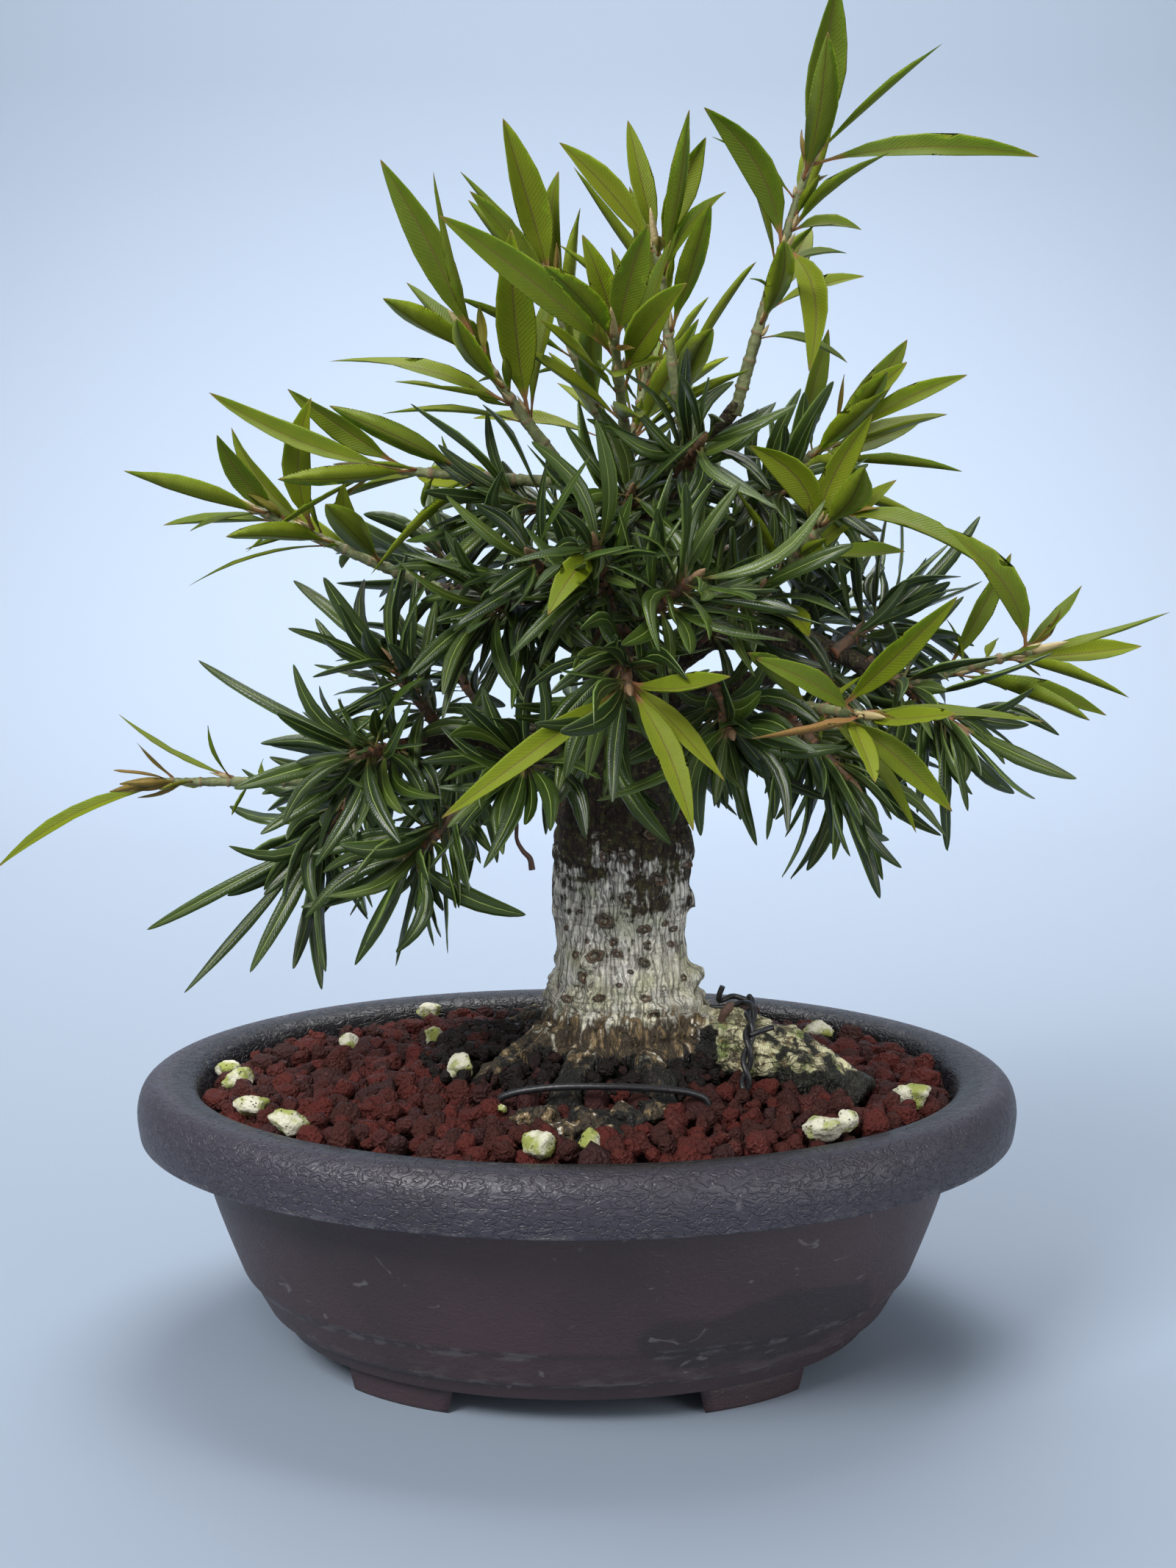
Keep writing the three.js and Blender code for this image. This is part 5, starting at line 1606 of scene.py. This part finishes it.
@dataclass
class Litter:
    """What lies about the foot of the tree: broken root ends, a dry stalk and a papery bud sheath."""

    # Place and half-sizes.
    chips: tuple[tuple[Triple, Triple], ...] = (
        ((1.8, -33.2, 47.4), (11.0, 5.4, 4.4)), ((-6.0, -31.5, 49.6), (4.2, 3.0, 2.6)),
        ((1.5, -33.0, 49.8), (3.4, 3.2, 2.6)), ((7.0, -32.0, 50.2), (3.8, 2.8, 2.8)),
        ((-1.5, -36.5, 48.9), (3.0, 2.4, 2.0)), ((6.0, -37.0, 49.0), (2.6, 2.2, 2.0)),
        ((12.5, -29.0, 50.6), (2.8, 2.6, 2.2)),
    )
    # How far the grit keeps off a chip, as a share of its half-sizes along and across.
    clear_share: float = 0.72
    # Where the stalk and the sheath lie across the pot, in millimetres.
    stalk_depth: float = -15.0
    sheath_depth: float = -9.0
    # Pixels along the dry stalk left of the trunk.
    stalk: tuple[Pair, ...] = (
        (699, 1092), (703, 1118), (703, 1141), (711, 1157), (721, 1168), (724, 1183),
    )
    # Pixels along the papery sheath, from its foot.
    sheath: tuple[Pair, ...] = ((980, 1392), (985, 1379), (992, 1370), (997, 1364))

    def clearance(self) -> Array:
        """Lists each chip's place, how far the grit keeps off it, and its three half-sizes."""
        share = self.clear_share / 2
        return np.array([[*place, share * (halves[0] + halves[1]), *halves] for place, halves in self.chips])

    def dress(self, bark: Material) -> None:
        """Makes the chips, the stalk and the sheath.

        Args:
            bark: The wood's material, which the chips share.
        """
        rows = self.clearance()
        points, faces, _ = stones(rows[:, :3], rows[:, 4:], np.zeros((len(rows), 3)), 4, 71, 0.24, 0.08)
        count = len(points)
        draft = Draft()
        soot = 0.5 + 0.3 * smooth_noise(points * 0.3, 12.0)
        bark_rows = np.stack([np.zeros(count), soot, np.zeros(count)], -1)
        foot_rows = np.tile((1.0, 0.0, 0.0), (count, 1))
        draft.add(points, [faces], bark=bark_rows, foot=foot_rows)
        draft.object("root_chips", bark)
        draft = Draft()
        line = through([VIEW.at_depth(pixel, self.stalk_depth) for pixel in self.stalk], 6)
        tube(draft, line, 0.3 + 0.3 * np.linspace(0, 1, len(line)) ** 2, 8)
        dry = PlainFinish("dry_stalk", (0.085, 0.045, 0.030), 0.7, 1.2, 0.2).make()
        draft.object("dry_stalk", dry)
        draft = Draft()
        line = through([VIEW.at_depth(pixel, self.sheath_depth) for pixel in self.sheath], 6)
        share = np.linspace(0, 1, len(line))
        tube(draft, line, 0.35 + 0.55 * np.sin(np.pi * share) ** 0.8, 8)
        draft.object("bud_sheath", dry)


@dataclass
class Leaf:
    """One leaf: where its curve starts, bends and ends, its two facings, its width and its age.

    The tone is a number of its own from 0 to 1, which sets its colour and its winding. The curl is how far it
    winds off its curve, as a share of its length, and bronze is how far it has the bud's colour.
    """

    root: Array
    bend: Array
    tip: Array
    face_low: Array
    face_high: Array
    width: float
    age: Age
    tone: float
    curl: float
    bronze: float = 0.0


class Facets:
    """A packed twig's faceted mesh, read back as its leaves and its stem."""

    # How far along its curve each of a faceted leaf's rings stands, and its share of the full width.
    STATIONS = {1: ((0.46, 1.0),), 2: ((0.24, 0.66), (0.6, 1.0)), 3: ((0.2, 0.6), (0.5, 1.0), (0.78, 0.68))}
    # How far above its lower edge a faceted leaf's middle lies, in millimetres.
    KEEL = 0.5
    # How far leaves wind off their curves: short old ones, and all others.
    OLD_CURL = 0.21
    CURL = 0.06

    def __init__(self, node: Object) -> None:
        """Welds the node's points and tells those of its leaves from those of its stem.

        Args:
            node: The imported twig.
        """
        mesh = node.data
        mesh.calc_loop_triangles()
        raw = np.array([v.co for v in mesh.vertices]) / MM
        keys, inverse = np.unique(np.round(raw, 3), axis=0, return_inverse=True)
        self.points = keys
        self.near: list[set[int]] = [set() for _ in keys]
        inverse = inverse.ravel()
        for triangle in mesh.loop_triangles:
            a, b, c = (int(inverse[v]) for v in triangle.vertices)
            self.near[a] |= {b, c}
            self.near[b] |= {a, c}
            self.near[c] |= {a, b}
        self.leaf_points: set[int] = set()
        self.chains = [chain for chain in map(self.chain, range(len(keys))) if chain]
        self.stem_points = [i for i in range(len(keys)) if i not in self.leaf_points]

    def chain(self, tip: int) -> list[list[int]] | None:
        """Follows a leaf from its tip, ring by ring, to the stem.

        Args:
            tip: A point's number.

        Returns:
            The rings from tip to foot, or None where the point is no leaf's tip.
        """
        ring = self.near[tip]
        if len(ring) != 3:
            return None
        rings, before = [[tip]], {tip}
        while len(ring) == 3 and len(rings) < 5:
            rings.append(sorted(ring))
            beyond = set().union(*(self.near[v] for v in ring)) - ring - before
            before, ring = ring, beyond
        if len(rings) < 3:
            return None
        for inner in rings[:-1]:
            self.leaf_points |= set(inner)
        return rings

    def leaf(self, chain: list[list[int]], age: Age, tone: float) -> Leaf:
        """Works out a leaf's curve from its rings.

        Args:
            chain: Its rings from tip to foot.
            age: Its age.
            tone: A number of its own from 0 to 1.

        Returns:
            The leaf.
        """
        tip = self.points[chain[0][0]]
        root = self.points[chain[-1]].mean(0)
        rings = chain[-2:0:-1]
        # An old leaf is narrower and shorter than its facets, by shares of its own.
        old = age is Age.MATURE and len(rings) < 3
        part_width = 0.6 + 0.22 * math.modf(tone * 71.3)[0] if old else 1.0
        part_length = 0.78 + 0.22 * tone if old else 1.0
        bends, faces, widths = [], [], []
        for ring, (share, part) in zip(rings, self.STATIONS[len(rings)]):
            corners = self.points[ring]
            sides = [np.linalg.norm(corners[k] - corners[(k + 1) % 3]) for k in range(3)]
            widest = int(np.argmax(sides))
            rib = corners[(widest + 2) % 3]
            middle = (corners[widest] + corners[(widest + 1) % 3]) / 2
            up = unit(middle - rib)
            centre = rib + up * self.KEEL
            bends.append((centre - (1 - share) ** 2 * root - share**2 * tip) / (2 * share * (1 - share)))
            faces.append(up)
            widths.append(sides[widest] / part)
        width = float(np.max(widths)) * part_width
        bend = root + (np.mean(bends, 0) - root) * part_length
        tip = root + (tip - root) * part_length
        curl = self.OLD_CURL if old else self.CURL
        return Leaf(root, bend, tip, faces[0], faces[-1], width, age, tone, curl)

    def stem(self) -> tuple[Array, Array, float]:
        """Works out the stem's axis.

        Returns:
            Its foot, its bud's tip and the bud's length.
        """
        rows = self.points[self.stem_points]
        centre = rows.mean(0)
        axis = np.linalg.svd(rows - centre)[2][0]
        reach = (rows - centre) @ axis
        off = np.linalg.norm(rows - centre - reach[:, None] * axis, axis=1)
        ends = [int(np.argmin(reach)), int(np.argmax(reach))]
        bud = min(ends, key=lambda i: off[i])
        tip = rows[bud]
        others = np.delete(rows, bud, 0)
        way = unit(tip - others.mean(0))
        lengths = (tip - others) @ way
        return tip - way * lengths.max(), tip, float(lengths.min())


@dataclass(frozen=True)
class Growth:
    """How a twig of one age grows, in millimetres and in shares of its stem."""

    # Where along the stem the added leaves start, and over how much of it they are spread.
    first: float
    spread: float
    # The least and the most length and width of an added leaf.
    lengths: Pair
    widths: Pair
    droop: float
    curl: float
    # How far apart the stem's joints are, and how far they stand out.
    joint_gap: float
    joint_rise: float


@dataclass
class Twig:
    """One leafy twig: the leaves and stem of its node, and more leaves of the same habit."""

    name: str
    node: Object
    number: int
    extra_share: float = 1.3

    GROWTH: ClassVar[dict[Age, Growth]] = {
        Age.MATURE: Growth(0.12, 0.86, (9.0, 17.5), (1.8, 2.9), 0.3, 0.2, 2.6, 0.2),
        Age.YOUNG: Growth(0.4, 0.6, (5.0, 10.0), (1.2, 2.2), 0.05, 0.08, 4.6, 0.16),
    }
    # A leaf on an old twig that is wider than this is a young one.
    BRIGHT_WIDTH: ClassVar[float] = 4.5
    # How much narrower such leaves are made than their facets, and the longest of the old ones.
    BRIGHT_PART: ClassVar[float] = 0.8
    LONG_PART: ClassVar[float] = 0.78
    # Where the photograph shows the tip of the one bronze leaf, and how near a tip has to come, in pixels.
    BRONZE_TIP: ClassVar[Pair] = (1022.0, 994.0)
    BRONZE_NEAR: ClassVar[float] = 45.0
    # How many tiny leaves are added to a young shoot.
    YOUNG_EXTRA: ClassVar[int] = 6
    # The height below which added leaves keep off the trunk and how far, all round it and in front of it.
    ROUND_CLEAR: ClassVar[Pair] = (116.0, 15.0)
    FRONT_CLEAR: ClassVar[Pair] = (121.0, 12.0)
    # The shoot that ends in a tuft of tiny bronze leaves, the tips of its two long leaves, and how near to
    # one of them a leaf's tip has to come, in millimetres.
    BRONZE_SHOOT: ClassVar[str] = "shoot_left_low"
    LONG_TIPS: ClassVar[Array] = np.array([(-98.0, -15.0, 89.0), (-77.0, -11.0, 114.0)])
    LONG_NEAR: ClassVar[float] = 6.0
    # How far the tuft's leaves move to the bud, their least length and what is added to it, and their width.
    TUFT_GATHERED: ClassVar[float] = 0.85
    TUFT_LENGTHS: ClassVar[Pair] = (0.24, 0.2)
    TUFT_WIDTH: ClassVar[float] = 0.42
    # The stem: its radii at its foot and its bud, how deep it is rooted, and its rings to a millimetre.
    STEM_RADII: ClassVar[Pair] = (1.12, 0.66)
    ROOTED: ClassVar[float] = 2.4
    STEM_RINGS: ClassVar[float] = 2.2

    def __post_init__(self) -> None:
        """Reads the twig's facets and measures its stem."""
        self.age = Age.YOUNG if self.name.startswith("shoot") else Age.MATURE
        self.draw = np.random.default_rng(900 + self.number)
        self.facets = Facets(self.node)
        self.foot, self.bud, self.bud_length = self.facets.stem()
        self.way = unit(self.bud - self.foot)

    def leaves(self, room: tuple[Array, Array]) -> list[Leaf]:
        """Lists the twig's leaves.

        Args:
            room: The lowest and highest corner that they stay within.

        Returns:
            The leaves of its node, then those that are added.
        """
        out = []
        for chain in self.facets.chains:
            leaf = self.facets.leaf(chain, self.age, float(self.draw.random()))
            if self.age is Age.MATURE and leaf.width > self.BRIGHT_WIDTH:
                leaf.age = Age.YOUNG
                leaf.width *= self.BRIGHT_PART
            elif self.age is Age.MATURE and len(chain) > 4:
                leaf.width *= self.LONG_PART
            self.shrink(leaf)
            column, row = VIEW.pixel(leaf.tip)
            if math.hypot(column - self.BRONZE_TIP[0], row - self.BRONZE_TIP[1]) < self.BRONZE_NEAR:
                leaf.bronze = 1.0
            out.append(leaf)
        self.own = list(out)
        wanted = round(len(out) * self.extra_share) if self.age is Age.MATURE else self.YOUNG_EXTRA
        more = [self.added(k, wanted) for k in range(wanted)]
        return out + [leaf for leaf in more if self.clear(leaf, room)]

    def shrink(self, leaf: Leaf) -> None:
        """Makes a leaf a tiny bronze one at the bud, where it grows on the bronze-tipped shoot.

        Args:
            leaf: The leaf, which stays as it is where it is one of the shoot's long ones.
        """
        if self.name != self.BRONZE_SHOOT:
            return
        if np.linalg.norm(leaf.tip - self.LONG_TIPS, axis=1).min() < self.LONG_NEAR:
            return
        near = leaf.root + (self.bud - self.way * self.bud_length - leaf.root) * self.TUFT_GATHERED
        size = self.TUFT_LENGTHS[0] + self.TUFT_LENGTHS[1] * leaf.tone
        way = unit(leaf.tip - leaf.root) * 0.6 + self.way * 0.7
        length = float(np.linalg.norm(leaf.tip - leaf.root)) * size
        leaf.bend = near + (leaf.bend - leaf.root) * size
        leaf.tip = near + unit(way) * length
        leaf.root = near
        leaf.width *= self.TUFT_WIDTH
        leaf.bronze = 0.8

    def added(self, k: int, wanted: int) -> Leaf:
        """Grows one more leaf, shorter than those of the node.

        Args:
            k: Its number.
            wanted: How many are grown.

        Returns:
            The leaf.
        """
        draw, grows = self.draw, self.GROWTH[self.age]
        share = grows.first + grows.spread * (k + 0.5) / wanted
        stem = self.bud - self.way * self.bud_length
        root = self.foot + (stem - self.foot) * share
        side = unit(np.cross(self.way, (0.3, 0.2, 1.0)))
        other = np.cross(self.way, side)
        turn = k * GOLDEN_TURN + draw.uniform(-0.5, 0.5) + self.number
        out = side * math.cos(turn) + other * math.sin(turn)
        # The leaves near the stem's foot lean out the most.
        lean = 1.45 - 0.9 * share + draw.uniform(-0.55, 0.55)
        way = self.way * math.cos(lean) + out * math.sin(lean)
        length = draw.uniform(*grows.lengths)
        tip = way * length
        tip[2] -= grows.droop * length * draw.uniform(0.2, 1.3) * math.hypot(way[0], way[1])
        tip = unit(tip) * length
        root = root + out * 0.7
        start = unit(unit(tip) * 0.6 + self.way * 0.35 + out * 0.35 + draw.normal(size=3) * 0.15)
        face = unit(self.way * 0.6 + np.array((0, 0, 0.5)) - out * 0.25 + draw.normal(size=3) * 0.3)
        width = draw.uniform(*grows.widths)
        bend, tip, tone = root + start * length * 0.5, root + tip, float(draw.random())
        bronze = 0.75 * float(eased(share, 0.75, 0.95)) if self.age is Age.YOUNG else 0.0
        return Leaf(root, bend, tip, face, face, width, self.age, tone, grows.curl, bronze)

    def clear(self, leaf: Leaf, room: tuple[Array, Array]) -> bool:
        """Tells whether an added leaf keeps to its room and off the trunk.

        Args:
            leaf: The leaf.
            room: The lowest and highest corner that it stays within.

        Returns:
            True where it may stay.
        """
        inside = bool(np.all(leaf.tip > room[0]) and np.all(leaf.tip < room[1]))
        for x, y, z in ((leaf.bend + leaf.tip) / 2, leaf.tip):
            off = x - TRUNK_MIDDLE
            if z < self.ROUND_CLEAR[0] and math.hypot(off, y) < self.ROUND_CLEAR[1]:
                return False
            if z < self.FRONT_CLEAR[0] and abs(off) < self.FRONT_CLEAR[1] and y < 0:
                return False
        return inside

    def stem(self, draft: Draft) -> None:
        """Adds the twig's stem with its joints and its pointed bud.

        Args:
            draft: The mesh it goes into.
        """
        grows = self.GROWTH[self.age]
        end = self.bud - self.way * self.bud_length
        start = self.foot - self.way * self.ROOTED
        length = float(np.linalg.norm(end - start))
        count = max(12, int(length * self.STEM_RINGS))
        share = np.linspace(0, 1, count)
        joint = np.abs(np.sin(np.pi * share * length / grows.joint_gap)) < 0.22
        thick, thin = self.STEM_RADII
        radius = thick + (thin - thick) * share + joint * grows.joint_rise
        radius *= 1 + 0.1 * self.draw.uniform(-1, 1, count)
        bow = unit(np.cross(self.way, (0.2, 0.9, 0.3)))
        spine = start + (end - start) * share[:, None] + bow * (np.sin(np.pi * share) * 0.25)[:, None]
        ring = np.stack([joint.astype(float), share, np.zeros(count)], -1)
        tube(draft, spine, radius, 9, 1, blade=ring, tone=np.tile((0.5, 0, 0), (count, 1)))
        steps = np.linspace(0, 1, 7)
        tip = end + (self.bud - end) * steps[:, None]
        swell = np.maximum(0.68 * (1 - steps) ** 0.75 * (1 + 0.9 * steps), 0.04)
        blade = np.stack([np.zeros(7), steps, np.ones(7)], -1)
        tube(draft, tip, swell, 9, 1, blade=blade, tone=np.tile((0.5, 0, 0), (7, 1)))
        for leaf in self.own if self.age is Age.YOUNG else self.own[::3]:
            self.sheath(draft, leaf)

    def sheath(self, draft: Draft, leaf: Leaf) -> None:
        """Adds the small pointed sheath in a leaf's axil.

        Args:
            draft: The mesh it goes into.
            leaf: The leaf.
        """
        out = unit(leaf.bend - leaf.root)
        root = leaf.root + self.way * 0.5
        length = self.draw.uniform(1.6, 3.6)
        tip = root + unit(self.way + out * 0.45 + self.draw.normal(size=3) * 0.12) * length
        steps = np.linspace(0, 1, 5)
        blade = np.stack([np.zeros(5), steps, 0.4 + 0.6 * steps], -1)
        radii = np.array([0.3, 0.42, 0.36, 0.2, 0.03])
        line = root + (tip - root) * steps[:, None]
        tube(draft, line, radii, 6, 1, blade=blade, tone=np.tile((0.5, 0, 0), (5, 1)))


class Blades:
    """Turns leaves into fine blades, many at a time."""

    # How far along a leaf each ring of the blade stands.
    STATIONS = np.array([0.0, 0.04, 0.09, 0.16, 0.26, 0.38, 0.52, 0.66, 0.79, 0.89, 0.95, 0.985])
    # How far out each point of a ring stands, in half-widths: those over the face, then the one under it.
    ACROSS = np.array([-1.0, -0.86, -0.5, -0.12, 0.12, 0.5, 0.86, 1.0, 0.0])
    # How high each of those points stands.
    MATURE_SECTION = np.array([-0.26, 0.0, 0.2, -0.02, -0.02, 0.2, 0.0, -0.26, -0.34])
    YOUNG_SECTION = np.array([0.3, 0.25, 0.12, -0.04, -0.04, 0.12, 0.25, 0.3, -0.26])

    def __init__(self, leaves: Sequence[Leaf]) -> None:
        """Takes the leaves that go into one mesh."""
        self.leaves = leaves
        self.tones = np.array([leaf.tone for leaf in leaves])

    def own(self, number: int) -> Array:
        """Gives each leaf the wanted one of its own numbers from 0 to 1, shaped for its stations."""
        return np.mod(self.tones * (31.7 + 57.3 * number), 1.0)[:, None]

    def gathered(self, name: str) -> Array:
        """Gathers one field of the leaves, shaped for their stations."""
        return np.array([getattr(leaf, name) for leaf in self.leaves])[:, None]

    def widths(self, young: Array) -> Array:
        """Measures each leaf's half-width at its stations.

        Args:
            young: Which leaves are young.

        Returns:
            Half-widths in millimetres.
        """
        s = self.STATIONS[None]
        bare = np.where(young, 0.12, 0.1)
        u = np.clip((s - bare) / (1 - bare), 0, 1)
        pointed = np.sin(np.pi * u**0.84) ** 0.82
        blunt = np.sin(np.pi * u**0.95) ** 0.58
        stalk = np.where(young, 0.36, 0.28)
        blade = 0.5 * self.gathered("width") * np.where(young, pointed, blunt)
        return np.maximum(stalk * (1 - 0.6 * s), blade)

    def add_to(self, draft: Draft) -> None:
        """Adds all the blades to a mesh.

        Args:
            draft: The mesh.
        """
        if not self.leaves:
            return
        count, steps = len(self.leaves), len(self.STATIONS)
        root, bend, tip = (self.gathered(name) for name in ("root", "bend", "tip"))
        young = np.array([leaf.age is Age.YOUNG for leaf in self.leaves])[:, None]
        half = self.widths(young)
        s = self.STATIONS[None]
        t = s[..., None]
        centre = (1 - t) ** 2 * root + 2 * t * (1 - t) * bend + t**2 * tip
        along = unit(2 * (1 - t) * (bend - root) + 2 * t * (tip - bend))
        face = self.gathered("face_low") * (1 - t) + self.gathered("face_high") * t
        flat = unit(np.cross(face, along))
        twist = ((self.own(1) - 0.5) * 1.5 * s)[..., None]
        raised = np.cross(along, flat)
        side = flat * np.cos(twist) + raised * np.sin(twist)
        up = raised * np.cos(twist) - flat * np.sin(twist)
        reach = np.linalg.norm(tip - root, axis=2) * self.gathered("curl")
        drop = reach * (1.6 * self.own(2) - 0.5) * s**2
        sway = reach * (2 * self.own(3) - 1) * np.sin(np.pi * s)
        centre = centre - raised * drop[..., None] + flat * sway[..., None]
        end = tip - raised[:, -1:] * drop[:, -1:, None]
        across = self.ACROSS
        section = np.where(young, self.YOUNG_SECTION, self.MATURE_SECTION)
        fold = 0.6 + 0.8 * self.own(4)
        rise = section[:, None] * (half * fold)[..., None]
        phase = 40 * self.tones[:, None]
        wave = 0.13 * np.sin(10 * s + phase) + 0.07 * np.sin(21 * s - phase)
        ruffle = wave * np.minimum(1, half / 1.5)
        rise = rise + ruffle[..., None] * (across * np.abs(across))[None, None]
        points = centre[:, :, None] + side[:, :, None] * (half[..., None] * across)[..., None]
        points = points + up[:, :, None] * rise[..., None]
        sides = len(across)
        each = steps * sides + 1
        rows = np.concatenate([points.reshape(count, -1, 3), end], 1).reshape(-1, 3)
        shift = (np.arange(count) * each)[:, None, None]
        foot = np.array([[0, k, k + 1] for k in range(1, sides - 1)])
        end_fan = fan((steps - 1) * sides, sides, steps * sides, False)
        shells = [ring_quads(steps, sides)[:, ::-1], end_fan, foot]
        groups = [(group[None] + shift).reshape(-1, group.shape[1]) for group in shells]
        under = np.append(np.zeros(sides - 1), 1.0)
        columns = [np.tile(across, steps), np.repeat(self.STATIONS, sides), np.tile(under, steps)]
        blade = np.vstack([np.stack(columns, -1), [0.5, 1.0, 0.0]])
        tone = np.concatenate([self.own(5), self.own(6) ** 2, self.gathered("bronze")], 1)
        draft.add(rows, groups, 0, blade=np.tile(blade, (count, 1)), tone=np.repeat(tone, each, 0))


@dataclass
class Foliage:
    """Every leafy twig."""

    nodes: dict[str, Object]
    room: tuple[Array, Array]

    mature: ClassVar[LeafFinish] = LeafFinish(
        "mature_leaf",
        dark=(0.008, 0.020, 0.003),
        light=(0.033, 0.060, 0.006),
        rib=(0.24, 0.31, 0.08),
        margin=(0.15, 0.22, 0.05),
        underside=(0.065, 0.10, 0.04),
        stalk=(0.15, 0.13, 0.04),
        yellowed=(0.075, 0.11, 0.015),
        rib_share=0.85, margin_share=0.8, tip_share=0.0,
        roughness=0.33, coat=0.3, sheen=0.25,
    )
    young: ClassVar[LeafFinish] = LeafFinish(
        "young_leaf",
        dark=(0.068, 0.098, 0.006),
        light=(0.120, 0.148, 0.005),
        rib=(0.10, 0.070, 0.022),
        margin=(0.15, 0.20, 0.02),
        underside=(0.13, 0.165, 0.016),
        stalk=(0.24, 0.10, 0.05),
        yellowed=(0.19, 0.215, 0.016),
        rib_share=0.7, margin_share=0.3, tip_share=0.5,
        roughness=0.5, coat=0.0, sheen=0.12,
    )
    twig_bark: ClassVar[StemFinish] = StemFinish(
        "twig_bark",
        skin=(0.16, 0.085, 0.045),
        shade=(0.06, 0.04, 0.025),
        scar=(0.26, 0.085, 0.035),
        tip=(0.20, 0.12, 0.06),
    )
    green_stem: ClassVar[StemFinish] = StemFinish(
        "green_stem",
        skin=(0.17, 0.19, 0.075),
        shade=(0.10, 0.11, 0.045),
        scar=(0.20, 0.13, 0.07),
        tip=(0.34, 0.27, 0.13),
    )

    def dress(self) -> None:
        """Makes a piece for each twig, and one for the young leaves among the old."""
        looks = {Age.MATURE: self.mature.make(), Age.YOUNG: self.young.make()}
        stems = {Age.MATURE: self.twig_bark.make(), Age.YOUNG: self.green_stem.make()}
        among: list[Leaf] = []
        for number, (name, node) in enumerate(self.nodes.items()):
            twig = Twig(name, node, number)
            leaves = twig.leaves(self.room)
            own = [leaf for leaf in leaves if leaf.age is twig.age]
            among += [leaf for leaf in leaves if leaf.age is not twig.age]
            draft = Draft()
            Blades(own).add_to(draft)
            twig.stem(draft)
            made = draft.object(name + "_fine", looks[twig.age], stems[twig.age])
            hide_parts(name)
        draft = Draft()
        Blades(among).add_to(draft)
        made = draft.object("young_leaves_in_crown", looks[Age.YOUNG])


@dataclass(frozen=True)
class Studio:
    """Camera, lights and a plain pale floor."""

    background: Colour = (0.224, 0.270, 0.336)
    # How wide the light on the background fans out, in radians, so that it leaves the floor in front alone.
    wall_spread: float = 1.4
    # The film's longer side, in millimetres.
    film: float = 36.0

    def floor(self) -> None:
        """Lays the floor, which curves up into the background."""
        turn = np.linspace(0, np.pi / 2, 12)
        depth = [-900.0, 500.0, *(500 + 400 * np.sin(turn[1:]))]
        height = [-0.02, -0.02, *(400 - 400 * np.cos(turn[1:]))]
        rows = [*zip(depth, height), (900.0, 1900.0)]
        points = np.array([(x, y, z) for y, z in rows for x in (-1600.0, 1600.0)])
        quads = np.array([[2 * k, 2 * k + 1, 2 * k + 3, 2 * k + 2] for k in range(len(rows) - 1)])
        draft = Draft()
        draft.add(points, [quads])
        plain = Graph("floor").finish(Base_Color=self.background, Roughness=0.95)
        draft.object("floor", plain)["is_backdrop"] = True

    def lights(self) -> None:
        """Hangs the soft lights and lights the room."""
        world = bpy.data.worlds.new("room")
        world.use_nodes = True
        glow = world.node_tree.nodes["Background"].inputs
        glow["Color"].default_value = (0.97, 0.98, 1.0, 1.0)
        glow["Strength"].default_value = 0.36
        bpy.context.scene.world = world
        for name, place, size, power in (
            ("key", (-0.40, -0.55, 0.70), 0.36, 9.5),
            ("fill", (0.60, -0.55, 0.30), 0.5, 2.8),
            ("top", (0.05, 0.15, 0.80), 0.45, 6.0),
            ("wall", (0.0, 0.45, 1.1), 1.0, 8.5),
        ):
            data = bpy.data.lights.new(name, "AREA")
            data.energy, data.size = power, size
            if name == "wall":
                data.spread = self.wall_spread
            light = bpy.data.objects.new(name, data)
            light.location = place
            aim = Vector((0, 0.9, 0.2)) if name == "wall" else Vector((0, 0, 0.11))
            light.rotation_euler = (aim - Vector(place)).to_track_quat("-Z", "Y").to_euler()
            bpy.context.scene.collection.objects.link(light)

    def camera(self) -> None:
        """Sets the camera where the photograph was taken."""
        data = bpy.data.cameras.new("camera")
        data.sensor_width = self.film
        data.lens = VIEW.focal / VIEW.height * self.film
        data.clip_start = 0.01
        camera = bpy.data.objects.new("camera", data)
        camera.location = Vector(VIEW.place) * MM
        camera.rotation_euler = (math.pi / 2 - VIEW.pitch, 0, 0)
        bpy.context.scene.collection.objects.link(camera)
        bpy.context.scene.camera = camera

    def set_up(self) -> None:
        """Sets up the whole studio."""
        self.floor()
        self.lights()
        self.camera()
        bpy.context.scene.view_settings.view_transform = "Standard"


def tree_of(node: Object) -> BVHTree:
    """Makes a search tree of a node's faces.

    Args:
        node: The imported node.

    Returns:
        The tree.
    """
    rows = [v.co for v in node.data.vertices]
    return BVHTree.FromPolygons(rows, [tuple(p.vertices) for p in node.data.polygons])


def main() -> None:
    """Builds every piece in order."""
    logging.basicConfig(level=logging.INFO, format="%(name)s %(message)s")
    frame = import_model()
    nodes = frame["nodes"]
    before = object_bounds()
    shape = PotShape()
    low, high = (np.array(corner) / MM for corner in before)
    wood = nodes["trunk_roots_branches"]
    pebbles = Pebbles([name for name in nodes if name.startswith("pumice_")])
    twigs = {name: node for name, node in nodes.items() if name.startswith(("shoot_", "leaves_"))}
    Pot(shape).dress()
    DrainMeshes(shape).dress()
    litter = Litter()
    bark = BarkFinish().make()
    Soil(shape, tree_of(wood)).dress(np.vstack([pebbles.rows(), litter.clearance()]))
    pebbles.dress()
    Bark(wood).dress(bark)
    litter.dress(bark)
    Wires().dress()
    Foliage(twigs, (low + 1.0, high - 1.0)).dress()
    Studio().set_up()


if __name__ == "__main__":
    main()
